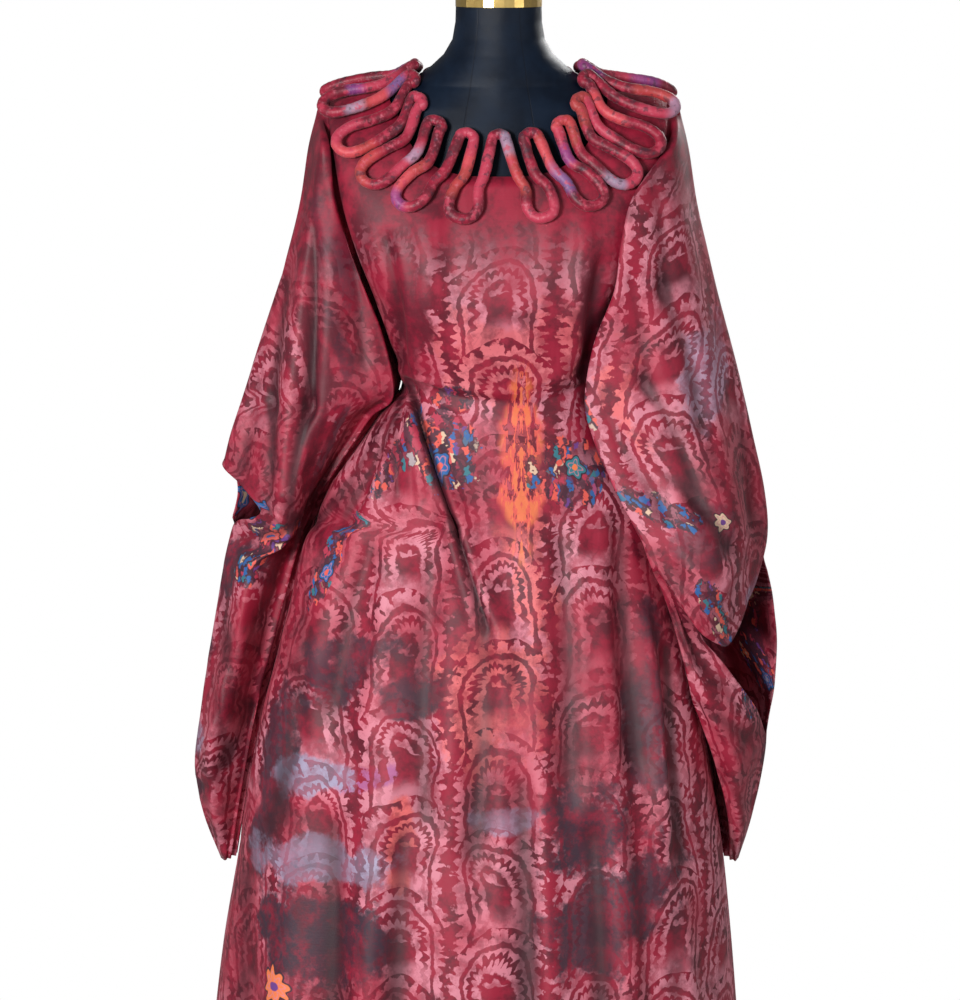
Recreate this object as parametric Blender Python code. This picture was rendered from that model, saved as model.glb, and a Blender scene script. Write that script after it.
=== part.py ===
"""Grand boubou robe with a looped rouleau collar, worn by a limbless dress form on a stand.

Units are metres, +Z is up, and -Y is the front. The form's vertical axis is the Z axis and the
stand's flat underside is at z = 0. The wearer's right is at -X, the wearer's left at +X.
Tables of cloth sections hold millimetres, which MM turns into metres.
"""

import math

import bpy
import numpy as np
from mathutils import Vector
from mathutils.bvhtree import BVHTree

MM = 0.001

# Cloth
CLOTH_THICKNESS = 0.0020
MOST_MITRE = 1.8
MOST_EDGE_MITRE = 1.25
SEAM_GAP = 0.0003
LAP = CLOTH_THICKNESS + 0.0006
FRONT_COLUMNS = 28
BACK_COLUMNS = 22
SLEEVE_FRONT_COLUMNS = 12
SLEEVE_BACK_COLUMNS = 9
BEND_COLUMN = 5
STEPS_PER_SPAN = 24
ROOT_SHARE = 0.16
CLOTH_OFF_FORM = 0.0045
SLEEVE_OFF_BODY = 0.0090
SLEEVE_PLY_GAP = 0.0085
ROWS_CLOSING = 4
LEAST_PLY = 0.45
SLEEVE_RISE = 0.0020
EDGE_OFF_BODY = 0.0040

# Collar of padded rouleau loops
ROULEAU_RADIUS = 0.0060
ROULEAU_SIDES = 6
COLLAR_REACH_ROWS = 1.80
COLLAR_CLEARANCE = 0.0005
COLLAR_OFF_FORM = 0.0015
COLLAR_SHOULDER_LIFT = 0.0100
COLLAR_SHOULDER_REACH = 0.0080
ARCH_RING = {"half_width": 0.097, "y_front": -0.088, "y_back": 0.088, "power": 3.2,
             "z_side": 1.4315, "z_front": 1.357, "z_back": 1.414}

# Dress form and stand
NECK_CAP_RADIUS = 0.0500
NECK_CAP_HEIGHT = 0.0200
POLE_RADIUS = 0.0140
POLE_PLUG_DEPTH = 0.0300
BASE_RADIUS = 0.1750
BASE_THICKNESS = 0.0100
SOCKET_RADIUS = 0.0240
SOCKET_HEIGHT = 0.0360
FORM_SIDES = 26

# Each row is one section of the front and back panels, from the neckline down to the hem.
# z_side, half widths towards -X and +X, height and depth at the centre front and centre back,
# half the armhole's opening, how far the side seam is set in behind the side fold, squareness.
BODY_COLUMNS = ("z_side", "w_right", "w_left", "z_front", "y_front", "z_back", "y_back",
                "armhole", "set_in", "power")
BODY_ROWS = (
    (1412, 120, 120, 1310, -98, 1394, 86, 0, 0, 3.2),
    (1405, 158, 158, 1284, -110, 1368, 101, 0, 0, 3.0),
    (1393, 194, 194, 1256, -121, 1336, 111, 0, 0, 2.8),
    (1345, 190, 188, 1214, -131, 1292, 116, 30, 0, 2.5),
    (1292, 181, 178, 1176, -134, 1248, 115, 42, 0, 2.3),
    (1240, 167, 164, 1142, -131, 1204, 108, 32, 0, 2.2),
    (1190, 152, 150, 1112, -124, 1160, 101, 0, 0, 2.1),
    (1120, 130, 128, 1080, -112, 1104, 94, 0, 2, 2.15),
    (1055, 114, 112, 1052, -101, 1052, 92, 0, 4, 2.2),
    (1015, 143, 124, 1013, -110, 1013, 106, 0, 12, 2.3),
    (965, 181, 148, 962, -130, 962, 124, 0, 18, 2.4),
    (915, 213, 172, 912, -152, 912, 138, 0, 20, 2.4),
    (860, 232, 194, 856, -168, 856, 152, 0, 20, 2.4),
    (800, 246, 211, 796, -183, 796, 165, 0, 18, 2.35),
    (740, 262, 226, 736, -196, 736, 176, 0, 18, 2.3),
    (675, 280, 239, 671, -208, 671, 187, 0, 18, 2.3),
    (605, 295, 253, 602, -220, 602, 198, 0, 16, 2.25),
    (535, 308, 266, 533, -230, 533, 208, 0, 14, 2.2),
    (465, 320, 277, 463, -240, 463, 217, 0, 10, 2.2),
    (370, 337, 288, 369, -250, 369, 228, 0, 6, 2.2),
    (265, 351, 298, 264, -260, 264, 238, 0, 4, 2.2),
    (150, 364, 309, 150, -270, 150, 248, 0, 2, 2.2),
    (32, 376, 320, 32, -280, 32, 258, 0, 0, 2.2),
)
FORM_CLEAR_ROWS = 13

# Folds of the cloth, as lines in the front or back view: x and z at both ends, then half
# width and height at both ends. Lean pushes the crest sideways over its trough, as a share
# of its height: positive towards +X on an upright fold.
FOLD_COLUMNS = ("x0", "z0", "x1", "z1", "width0", "width1", "height0", "height1", "lean")
FRONT_FOLDS = (
    (-96, 1020, -16, 800, 16, 26, 6, 18, 0.5),
    (-120, 1000, -205, 760, 18, 26, 6, 14, -0.4),
    (-112, 980, -120, 820, 16, 24, 4, 10, 0.3),
    (-205, 860, -250, 560, 22, 28, 5, 10, -0.4),
    (-128, 740, -160, 50, 26, 32, 6, 26, -0.2),
    (-50, 640, -56, 50, 26, 32, 5, 22, 0.2),
    (40, 880, 54, 50, 22, 32, 6, 26, 0.3),
    (112, 860, 158, 50, 20, 30, 8, 28, 0.3),
    (172, 740, 242, 50, 20, 28, 6, 24, 0.2),
    (-240, 520, -262, 50, 24, 32, 6, 26, -0.2),
    (-84, 1090, -76, 1240, 14, 20, 4, 6, 0.0),
    (72, 1090, 98, 1220, 14, 20, 5, 7, 0.0),
)
BACK_FOLDS = (
    (-84, 1020, -250, 50, 16, 30, 4, 30, 0.0),
    (-50, 1020, -158, 50, 16, 30, 4, 26, 0.2),
    (-18, 1020, -66, 50, 16, 30, 4, 30, 0.0),
    (14, 1020, 24, 50, 16, 30, 4, 26, -0.2),
    (46, 1020, 112, 50, 16, 30, 4, 30, 0.0),
    (78, 1020, 200, 50, 16, 30, 4, 27, -0.2),
    (-52, 1090, -84, 1280, 15, 22, 4, 6, 0.0),
    (48, 1090, 88, 1270, 15, 22, 4, 6, 0.0),
)

# Each row is one section of a sleeve, which wraps round the body's side from a front root to
# a back root. root is the body row that it is sewn to. bend is the inner fold of the front
# layer, belly its middle, edge its outer end, sag how far the belly hangs below its line.
# fold is the outer end of the back layer, and the same point as edge except where the hand
# opening parts the two layers. x is measured outwards from the middle. The first
# SLEEVE_TOP_ROWS are plain half rounds over the shoulder's tip and use only root and edge.
SLEEVE_TOP_ROWS = 2
SLEEVE_COLUMNS = ("root", "bend_x", "bend_y", "belly_x", "belly_y", "sag", "edge_x", "edge_y",
                  "edge_z", "fold_x", "fold_y", "fold_z", "back_y")
SLEEVE_RIGHT_ROWS = (
    (2.08, 0, 0, 0, 0, 0, 208, 5, 1388, 208, 5, 1388, 0),
    (2.35, 0, 0, 0, 0, 0, 213, 4, 1369, 213, 4, 1369, 0),
    (3.00, 191, -56, 209, -44, 0, 222, 0, 1334, 222, 0, 1334, 54),
    (4.00, 184, -60, 213, -54, 0, 234, 0, 1275, 234, 0, 1275, 64),
    (5.00, 173, -60, 219, -60, 0, 248, 0, 1222, 248, 0, 1222, 70),
    (6.00, 161, -58, 225, -66, 0, 263, 0, 1168, 263, 0, 1168, 76),
    (7.00, 142, -54, 229, -72, 0, 282, -2, 1105, 282, -2, 1105, 80),
    (8.00, 128, -50, 231, -78, 0, 300, -4, 1042, 300, -4, 1042, 84),
    (9.00, 142, -24, 240, -82, -10, 313, -6, 1000, 313, -6, 1000, 86),
    (9.60, 165, -16, 250, -86, -20, 324, -8, 970, 324, -8, 970, 88),
    (9.85, 176, -16, 250, -88, -26, 327, -14, 957, 321, 4, 952, 88),
    (10.10, 182, -16, 248, -82, -36, 303, -44, 940, 314, 10, 938, 88),
    (10.40, 192, -16, 246, -74, -36, 284, -56, 916, 313, 12, 920, 88),
    (10.70, 202, -16, 252, -64, -30, 296, -44, 902, 316, 8, 904, 88),
    (11.00, 212, -14, 264, -58, -30, 315, -14, 888, 320, 0, 888, 88),
    (12.00, 230, -14, 290, -62, 0, 329, -8, 840, 329, -8, 840, 90),
    (13.00, 246, -16, 304, -66, 0, 340, -8, 780, 340, -8, 780, 90),
    (14.00, 264, -18, 318, -66, 0, 351, -6, 720, 351, -6, 720, 90),
    (15.00, 284, -18, 332, -60, 0, 360, -4, 656, 360, -4, 656, 84),
    (16.00, 302, -16, 344, -50, 0, 370, -2, 584, 370, -2, 584, 72),
    (17.00, 317, -14, 343, -34, 0, 361, 0, 520, 361, 0, 520, 52),
    (18.00, 330, -10, 335, -12, 0, 341, 2, 462, 341, 2, 462, 26),
)
SLEEVE_LEFT_ROWS = (
    (2.08, 0, 0, 0, 0, 0, 208, 5, 1388, 208, 5, 1388, 0),
    (2.35, 0, 0, 0, 0, 0, 213, 4, 1369, 213, 4, 1369, 0),
    (3.00, 190, -58, 208, -46, 0, 222, 0, 1332, 222, 0, 1332, 54),
    (4.00, 152, -102, 202, -80, 0, 231, 0, 1272, 231, 0, 1272, 64),
    (5.00, 134, -108, 200, -92, 0, 243, 0, 1216, 243, 0, 1216, 70),
    (6.00, 124, -102, 204, -94, 0, 257, 0, 1162, 257, 0, 1162, 76),
    (7.00, 111, -92, 206, -96, 0, 276, -2, 1098, 276, -2, 1098, 80),
    (8.00, 106, -88, 210, -98, 0, 293, -4, 1036, 293, -4, 1036, 82),
    (9.00, 114, -96, 220, -102, 0, 304, -6, 990, 304, -6, 990, 82),
    (10.00, 136, -109, 236, -108, 0, 317, -8, 934, 317, -8, 934, 80),
    (11.00, 162, -124, 250, -120, -8, 323, -10, 884, 323, -10, 884, 76),
    (11.30, 172, -130, 252, -128, -18, 317, -20, 846, 319, -6, 850, 72),
    (11.55, 178, -132, 246, -134, -26, 294, -66, 796, 325, -2, 826, 70),
    (11.80, 184, -134, 234, -146, -16, 268, -120, 766, 330, 0, 806, 68),
    (12.00, 188, -124, 222, -128, -4, 248, -112, 776, 333, 2, 790, 68),
    (12.30, 192, -116, 216, -112, -4, 236, -96, 780, 336, 4, 768, 68),
    (12.60, 195, -112, 220, -106, -8, 244, -92, 762, 338, 4, 752, 68),
    (13.00, 200, -108, 230, -106, -6, 262, -92, 742, 339, 4, 732, 70),
    (13.50, 207, -108, 248, -110, -12, 290, -82, 704, 338, 2, 704, 72),
    (14.00, 214, -108, 262, -112, -16, 312, -54, 670, 336, 0, 676, 74),
    (14.50, 222, -108, 272, -108, -16, 321, -28, 646, 331, -4, 650, 76),
    (15.00, 231, -102, 280, -100, -12, 326, -12, 622, 326, -12, 622, 74),
    (16.00, 250, -84, 288, -78, -6, 321, -4, 562, 321, -4, 562, 64),
    (17.00, 268, -56, 290, -48, 0, 307, 0, 510, 307, 0, 510, 48),
    (18.00, 286, -14, 292, -14, 0, 297, 2, 462, 297, 2, 462, 26),
)
SLEEVE_RIGHT_SLIT = (9, 14)
SLEEVE_LEFT_SLIT = (10, 21)
SLEEVE_RIGHT_FOLDS = (
    (-236, 1300, -264, 905, 15, 22, 8, 30, 0.6),
    (-300, 1100, -312, 1000, 16, 18, 4, 7, -0.3),
    (-270, 800, -325, 650, 20, 24, 5, 11, -0.4),
    (-300, 690, -350, 600, 16, 22, 4, 8, 0.3),
)
SLEEVE_LEFT_FOLDS = (
    (236, 1240, 262, 960, 22, 30, 5, 10, 0.2),
    (214, 1000, 250, 860, 22, 26, 6, 14, 0.3),
    (222, 740, 305, 640, 22, 28, 6, 20, -0.4),
    (262, 600, 290, 520, 16, 18, 5, 9, 0.4),
)
SLEEVE_BACK_FOLDS = (
    (1, 212, 1300, 250, 940, 18, 26, 6, 12, 0.0),
    (1, 262, 880, 300, 600, 20, 24, 6, 11, 0.0),
    (-1, -212, 1300, -250, 940, 18, 26, 6, 12, 0.0),
    (-1, -266, 880, -322, 600, 20, 24, 6, 11, 0.0),
)

# Half of a collar loop, from its tip to its leg. share is the part of the way to the next
# arch, and aside is millimetres towards it. Then half of the arch, from leg to top, in
# millimetres below the top and aside from it.
LOOP_COLUMNS = ("reach", "share", "aside")
LOOP_ROWS = (
    (1.00, 0.0, 0.0),
    (0.93, 0.0, 12.5),
    (0.72, 0.0, 17.0),
    (0.35, 0.0, 14.0),
    (0.00, 0.5, 0.0),
)
ARCH_COLUMNS = ("below", "aside")
ARCH_ROWS = ((10.0, 8.6), (2.8, 6.4), (0.0, 0.0))
POINTS_PER_LOOP = 2 * (len(LOOP_ROWS) + len(ARCH_ROWS)) - 2

# Tip angle of each collar loop in degrees: those of the front length of rouleau, from the -X
# shoulder past the front to the +X shoulder, and those of the back length, on round the back.
FRONT_LOOPS = (8.5, 26, 44, 63.5, 83, 98.5, 117.5, 136, 153.5, 171)
BACK_LOOPS = (190, 218.5, 246, 263.5, 276.5, 294, 321.5, 350)

# Dress form sections: height, half width, depth at the front and at the back, squareness.
FORM_ROWS = (
    (1497, 50, -47, 50, 2.0), (1480, 50.5, -48, 51, 2.0), (1460, 54, -51, 56, 2.0),
    (1443, 64, -54, 60, 2.0), (1430, 78, -57, 64, 1.9), (1418, 95, -60, 68, 1.75),
    (1408, 116, -62, 72, 1.6), (1398, 140, -64, 76, 1.6), (1384, 163, -67, 81, 1.7),
    (1364, 174, -72, 87, 1.8), (1335, 176, -79, 93, 1.9), (1300, 171, -90, 97, 2.0),
    (1265, 162, -104, 97, 2.05), (1225, 152, -115, 94, 2.1), (1185, 140, -116, 88, 2.1),
    (1130, 120, -104, 82, 2.1), (1055, 101, -86, 77, 2.1), (1000, 109, -90, 86, 2.1),
    (940, 132, -98, 99, 2.1), (880, 147, -101, 108, 2.1), (815, 148, -98, 105, 2.1),
    (765, 138, -89, 94, 2.1), (745, 124, -78, 80, 2.1),
)

COLOURS = {
    "cloth": ((0.33, 0.022, 0.05), 0.55, 0.0),
    "rouleau": ((0.45, 0.05, 0.075), 0.6, 0.0),
    "form": ((0.016, 0.024, 0.04), 0.42, 0.0),
    "brass": ((0.83, 0.6, 0.22), 0.25, 1.0),
    "steel": ((0.02, 0.02, 0.022), 0.45, 0.8),
}


def clear_scene():
    for obj in list(bpy.data.objects):
        bpy.data.objects.remove(obj)


def material(name):
    found = bpy.data.materials.get(name)
    if found:
        return found
    colour, roughness, metallic = COLOURS[name]
    made = bpy.data.materials.new(name)
    made.use_nodes = True
    shader = made.node_tree.nodes["Principled BSDF"]
    shader.inputs["Base Color"].default_value = (*colour, 1.0)
    shader.inputs["Roughness"].default_value = roughness
    shader.inputs["Metallic"].default_value = metallic
    return made


def add_mesh(name, points, faces, material_name):
    mesh = bpy.data.meshes.new(name)
    mesh.from_pydata([tuple(p) for p in points], [], faces)
    mesh.materials.append(material(material_name))
    mesh.validate()
    mesh.shade_smooth()
    obj = bpy.data.objects.new(name, mesh)
    bpy.context.scene.collection.objects.link(obj)
    return obj


def free_edges(faces):
    """Edges of the quads that only one of them has, in order."""
    edges = {(face[i], face[(i + 1) % 4]) for face in faces for i in range(4)}
    return sorted((a, b) for a, b in edges if (b, a) not in edges)


def wall_offsets(points, faces, flat_in_y):
    """How far each point moves for a wall one unit thick on each side, mitred at folds.

    Points in flat_in_y are seam edges, whose wall stays in a plane of equal y.
    """
    corners = points[np.array(faces)]
    normals = np.cross(corners[:, 2] - corners[:, 0], corners[:, 3] - corners[:, 1])
    normals /= np.maximum(np.linalg.norm(normals, axis=1, keepdims=True), 1e-12)
    offsets = np.zeros_like(points)
    for normal, face in zip(normals, faces):
        offsets[list(face)] += normal
    seam = list(flat_in_y)
    offsets[seam, 1] = 0.0
    offsets /= np.maximum(np.linalg.norm(offsets, axis=1, keepdims=True), 1e-12)
    facing = np.ones(len(points))
    for normal, face in zip(normals, faces):
        facing[list(face)] = np.minimum(facing[list(face)], offsets[list(face)] @ normal)
    least = np.full(len(points), 1 / MOST_MITRE)
    least[[i for edge in free_edges(faces) for i in edge]] = 1 / MOST_EDGE_MITRE
    return offsets / np.clip(facing, least, 1.0)[:, None]


def cloth_wall(name, points, faces, flat_in_y=()):
    """A closed wall of cloth round a single surface of quads, half of it on each side."""
    offsets = wall_offsets(points, faces, flat_in_y) * CLOTH_THICKNESS / 2
    count = len(points)
    outer = split_quads(points, faces)
    walled = outer + [tuple(count + i for i in reversed(face)) for face in outer]
    walled += [(b, a, count + a, count + b) for a, b in free_edges(faces)]
    return add_mesh(name, np.vstack([points + offsets, points - offsets]), walled, "cloth")


def split_quads(points, faces):
    """Two triangles per quad, along its shorter diagonal."""
    triangles = []
    for a, b, c, d in faces:
        if np.linalg.norm(points[a] - points[c]) <= np.linalg.norm(points[b] - points[d]):
            triangles += [(a, b, c), (a, c, d)]
        else:
            triangles += [(a, b, d), (b, c, d)]
    return triangles


def tree_of(points, faces):
    return BVHTree.FromPolygons([tuple(p) for p in points], split_quads(np.array(points), faces))


def held_off(point, tree, gap):
    """The point moved out from the tree's surface until it is at least gap from it."""
    place, normal, _, distance = tree.find_nearest(Vector(point), gap + 0.05)
    if place is None:
        return np.array(point)
    outside = (Vector(point) - place).dot(normal) > 0
    signed = distance if outside else -distance
    if signed >= gap:
        return np.array(point)
    return np.array(Vector(point) + normal * (gap - signed))


def smooth_step(value):
    t = np.clip(value, 0.0, 1.0)
    return t * t * (3.0 - 2.0 * t)


def spline(points, runs):
    """Samples of a smooth curve through the points, spaced by length in each run.

    runs lists (last point of the run, number of steps in it).
    """
    points = np.asarray(points, float)
    padded = np.vstack([2 * points[0] - points[1], points, 2 * points[-1] - points[-2]])
    fine = []
    for i in range(len(points) - 1):
        p0, p1, p2, p3 = padded[i:i + 4]
        t = np.linspace(0, 1, STEPS_PER_SPAN, endpoint=False)[:, None]
        fine.append(0.5 * (2 * p1 + (p2 - p0) * t + (2 * p0 - 5 * p1 + 4 * p2 - p3) * t ** 2
                           + (3 * p1 - p0 - 3 * p2 + p3) * t ** 3))
    fine = np.vstack([*fine, points[-1:]])
    along = np.concatenate([[0], np.cumsum(np.linalg.norm(np.diff(fine, axis=0), axis=1))])
    wanted = [0.0]
    for last, steps in runs:
        wanted += list(np.linspace(wanted[-1], along[last * STEPS_PER_SPAN], steps + 1)[1:])
    return np.stack([np.interp(wanted, along, fine[:, k]) for k in range(3)], axis=1)


def named_rows(table, columns):
    return [dict(zip(columns, row)) for row in table]


def grid_normals(grid):
    """Unit normals of a grid of points, on the side of (next column) x (next row)."""
    down = np.gradient(grid, axis=0)
    across = np.gradient(grid, axis=1)
    normal = np.cross(across, down)
    return normal / np.maximum(np.linalg.norm(normal, axis=2, keepdims=True), 1e-9)


def folded(grid, outward, folds):
    """The grid with its folds raised along outward, and leant sideways in the front view."""
    result = grid.copy()
    for fold in named_rows(folds, FOLD_COLUMNS):
        start = np.array([fold["x0"], fold["z0"]]) * MM
        run = np.array([fold["x1"], fold["z1"]]) * MM - start
        length = np.linalg.norm(run)
        run = run / length
        side = np.array([-run[1], run[0]])
        side = side if side[0] > 0 else -side
        offset = grid[:, :, [0, 2]] - start
        along = offset @ run / length
        across = offset @ side
        share = np.clip(along, 0, 1)
        width = (fold["width0"] * (1 - share) + fold["width1"] * share) * MM
        height = (fold["height0"] * (1 - share) + fold["height1"] * share) * MM
        beyond = np.maximum(np.maximum(-along, along - 1), 0) * length
        fade = np.exp(-(beyond / (1.6 * width)) ** 2)
        crest = height * fade * np.exp(-(across / width) ** 2)
        result += outward * crest[:, :, None]
        result[:, :, 0] += fold["lean"] * crest * side[0]
        result[:, :, 2] += fold["lean"] * crest * side[1]
    return result


def body_section(row, back, angles):
    """Points of one body section. Angle -90 is the side seam at -X, 0 the centre, 90 at +X."""
    depth = row["y_back"] if back else row["y_front"]
    centre_z = row["z_back"] if back else row["z_front"]
    seam_y = (row["armhole"] if back else -row["armhole"]) + 4.0
    turn = np.radians(angles)
    sine = np.abs(np.sin(turn)) ** (2 / row["power"])
    cosine = np.abs(np.cos(turn)) ** (2 / row["power"])
    inward = smooth_step((np.abs(np.asarray(angles, float)) - 62) / 28)
    half = np.where(np.asarray(angles) < 0, row["w_right"], row["w_left"])
    spread = sine * (1 - inward * row["set_in"] / half)
    probe = np.radians(np.linspace(40, 90, 101))
    probe_in = smooth_step((np.degrees(probe) - 62) / 28)
    widest = [np.max(np.sin(probe) ** (2 / row["power"]) * (1 - probe_in * row["set_in"] / w))
              for w in (row["w_right"], row["w_left"])]
    spread = spread / np.where(np.asarray(angles) < 0, *widest)
    x = np.sign(turn) * spread * half
    y = seam_y + (depth - seam_y) * cosine
    z = row["z_side"] + (centre_z - row["z_side"]) * np.abs(np.cos(turn))
    return np.stack([x, y, z], axis=1) * MM


def form_radius(height, turn):
    """How far the form's surface is from the axis, at a height and an angle about Z."""
    table = np.array(FORM_ROWS, float)[::-1]
    half, y_front, y_back, power = (np.interp(height / MM, table[:, 0], table[:, k])
                                    for k in (1, 2, 3, 4))
    depth = y_back if math.sin(turn) > 0 else -y_front
    share = abs(math.cos(turn) / half) ** power + abs(math.sin(turn) / depth) ** power
    return MM * share ** (-1 / power)


def clear_of_form(point, gap):
    """The point moved straight out from the axis until it is gap away from the form."""
    turn = math.atan2(point[1], point[0])
    needed = max(form_radius(point[2] + gap * math.sin(lift), turn) + gap * math.cos(lift)
                 for lift in np.radians((-75, -45, -20, 0, 20, 45)))
    radius = math.hypot(point[0], point[1])
    if point[2] > FORM_ROWS[0][0] * MM or radius >= needed:
        return point
    return np.array([point[0] * needed / radius, point[1] * needed / radius, point[2]])


def body_grid(back, columns):
    """Rows of points from the neckline to the hem, from the seam at -X to the seam at +X."""
    angles = np.linspace(-90, 90, columns + 1)
    grid = np.array([body_section(row, back, angles) for row in named_rows(BODY_ROWS, BODY_COLUMNS)])
    outward = grid_normals(grid) * (1 if back else -1)
    grid = folded(grid, outward, BACK_FOLDS if back else FRONT_FOLDS)
    for r in range(FORM_CLEAR_ROWS):
        for c in range(grid.shape[1]):
            grid[r, c] = clear_of_form(grid[r, c], CLOTH_THICKNESS / 2 + CLOTH_OFF_FORM)
    return grid, grid_normals(grid) * (1 if back else -1)


def seam_parted(grid, back):
    """The panel with its side edges drawn back by half the seam's gap."""
    grid = grid.copy()
    shift = SEAM_GAP / 2 * (1 if back else -1)
    grid[:, 0, 1] += shift
    grid[:, -1, 1] += shift
    return grid


def grid_faces(rows, columns, flip=False, first=0):
    faces = []
    for r in range(rows - 1):
        for c in range(columns - 1):
            a = first + r * columns + c
            quad = (a, a + columns, a + columns + 1, a + 1)
            faces.append(quad[::-1] if flip else quad)
    return faces


def body_panel(name, back, columns):
    grid, outward = body_grid(back, columns)
    grid = seam_parted(grid, back)
    rows, across = grid.shape[:2]
    faces = grid_faces(rows, across, flip=back)
    seams = [r * across + c for r in range(rows) for c in (0, across - 1)]
    cloth_wall(name, grid.reshape(-1, 3), faces, seams)
    return grid, outward


def root_line(grid, outward, side, roots):
    """Where a sleeve is sewn to a panel: just outside its last column, at body rows roots."""
    last, before = (0, 1) if side < 0 else (-1, -2)
    edge = grid[:, last] * (1 - ROOT_SHARE) + grid[:, before] * ROOT_SHARE
    normal = outward[:, last] * (1 - ROOT_SHARE) + outward[:, before] * ROOT_SHARE
    edge = edge + normal * LAP
    index = np.arange(len(edge))
    return np.stack([np.interp(roots, index, edge[:, k]) for k in range(3)], axis=1)


def hugging_point(grid, outward, side, row_at, bend):
    """A point just outside a panel, half way from its seam to where the sleeve bends away."""
    r = min(int(row_at), len(grid) - 2)
    share = row_at - r
    line = grid[r] * (1 - share) + grid[r + 1] * share
    normal = outward[r] * (1 - share) + outward[r + 1] * share
    if side > 0:
        line, normal = line[::-1], normal[::-1]
    half = len(line) // 2
    steps = np.linspace(0, half, 20 * half + 1)
    fine = np.stack([np.interp(steps, np.arange(half + 1), line[:half + 1, k]) for k in (0, 1)])
    middle = steps[np.argmin(np.hypot(fine[0] - bend[0], fine[1] - bend[1]))] / 2
    i = int(middle)
    share = middle - i
    return (line[i] * (1 - share) + line[i + 1] * share
            + (normal[i] * (1 - share) + normal[i + 1] * share) * SLEEVE_OFF_BODY)


def ply_gap(row, rows):
    """How far a sleeve's front layer stays in front of itself, less towards its closed end."""
    return SLEEVE_PLY_GAP * float(np.clip((rows - 1 - row) / ROWS_CLOSING, LEAST_PLY, 1.0))


def quarter_round(root, edge, columns):
    """Points that leave the root sideways and reach the edge square to it."""
    turns = np.linspace(0, math.pi / 2, columns + 1)
    points = root + (edge - root) * np.sin(turns)[:, None]
    points[:, 1] = edge[1] + (root[1] - edge[1]) * np.cos(turns)
    return points


def sleeve_halves(side, table, front, back, body):
    """Front and back layers of a sleeve as grids of points, root to outer fold and on round.

    The front layer lies back over the body to a bend, then comes forward over itself.
    """
    rows = named_rows(table, SLEEVE_COLUMNS)
    roots = [row["root"] for row in rows]
    front_roots = root_line(*front, side, roots)
    back_roots = root_line(*back, side, roots)
    front_layer, back_layer = [], []
    for r, (row, front_root, back_root) in enumerate(zip(rows, front_roots, back_roots)):
        edge = np.array([side * row["edge_x"], row["edge_y"], row["edge_z"]]) * MM
        fold = np.array([side * row["fold_x"], row["fold_y"], row["fold_z"]]) * MM
        if r < SLEEVE_TOP_ROWS:
            front_layer.append(quarter_round(front_root, edge, SLEEVE_FRONT_COLUMNS))
            back_layer.append(quarter_round(back_root, edge, SLEEVE_BACK_COLUMNS)[::-1])
            continue
        fall = edge[2] - front_root[2]
        bend = np.array([side * row["bend_x"] * MM, row["bend_y"] * MM, front_root[2] + 0.1 * fall])
        belly = np.array([side * row["belly_x"] * MM, row["belly_y"] * MM,
                          front_root[2] + 0.62 * fall + row["sag"] * MM])
        hugged = hugging_point(*front, side, row["root"], bend)
        ply = ply_gap(r, len(rows))
        normal = np.array(body.find_nearest(Vector(bend))[1])
        bend = held_off(bend, body, SLEEVE_OFF_BODY + ply)
        front_layer.append(spline([front_root, hugged, bend - normal * ply, bend, belly, edge],
                                  ((2, BEND_COLUMN), (3, 1),
                                   (5, SLEEVE_FRONT_COLUMNS - BEND_COLUMN - 1))))
        depth = row["back_y"] * MM
        drop = fold[2] - back_root[2]
        back_bend = np.array([back_root[0] + side * 0.007,
                              back_root[1] + 0.5 * (depth - back_root[1]),
                              back_root[2] + 0.15 * drop])
        back_belly = np.array([0.45 * back_root[0] + 0.55 * fold[0], depth,
                               back_root[2] + 0.55 * drop])
        back_layer.append(spline([fold, back_belly, back_bend, back_root],
                                 ((3, SLEEVE_BACK_COLUMNS),)))
    return np.array(front_layer), np.array(back_layer)


def held_off_body(layer, body, root_column, bend_column):
    """The layer pushed clear of the body panels, least at its root, with its edges' middles.

    Columns past bend_column lie over those before it, and stay a ply further out.
    """
    pushed = layer.copy()
    rows, columns = layer.shape[:2]
    for _ in range(6):
        for r in range(SLEEVE_TOP_ROWS, rows):
            gaps = [min(LAP + SLEEVE_RISE * abs(c - root_column), SLEEVE_OFF_BODY)
                    + ply_gap(r, rows) * (c > bend_column) for c in range(columns)]
            for c in range(columns):
                pushed[r, c] = held_off(pushed[r, c], body, gaps[c])
                pushed[r, c] = clear_of_form(pushed[r, c], CLOTH_OFF_FORM)
                for other in ((r, c + 1), (r + 1, c), (r + 1, c + 1)):
                    if other[0] == rows or other[1] == columns:
                        continue
                    middle = (pushed[r, c] + pushed[other]) / 2
                    gap = min(gaps[c], gaps[other[1]], EDGE_OFF_BODY)
                    shift = held_off(middle, body, gap) - middle
                    pushed[r, c] += shift
                    pushed[other] += shift
    return pushed


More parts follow.
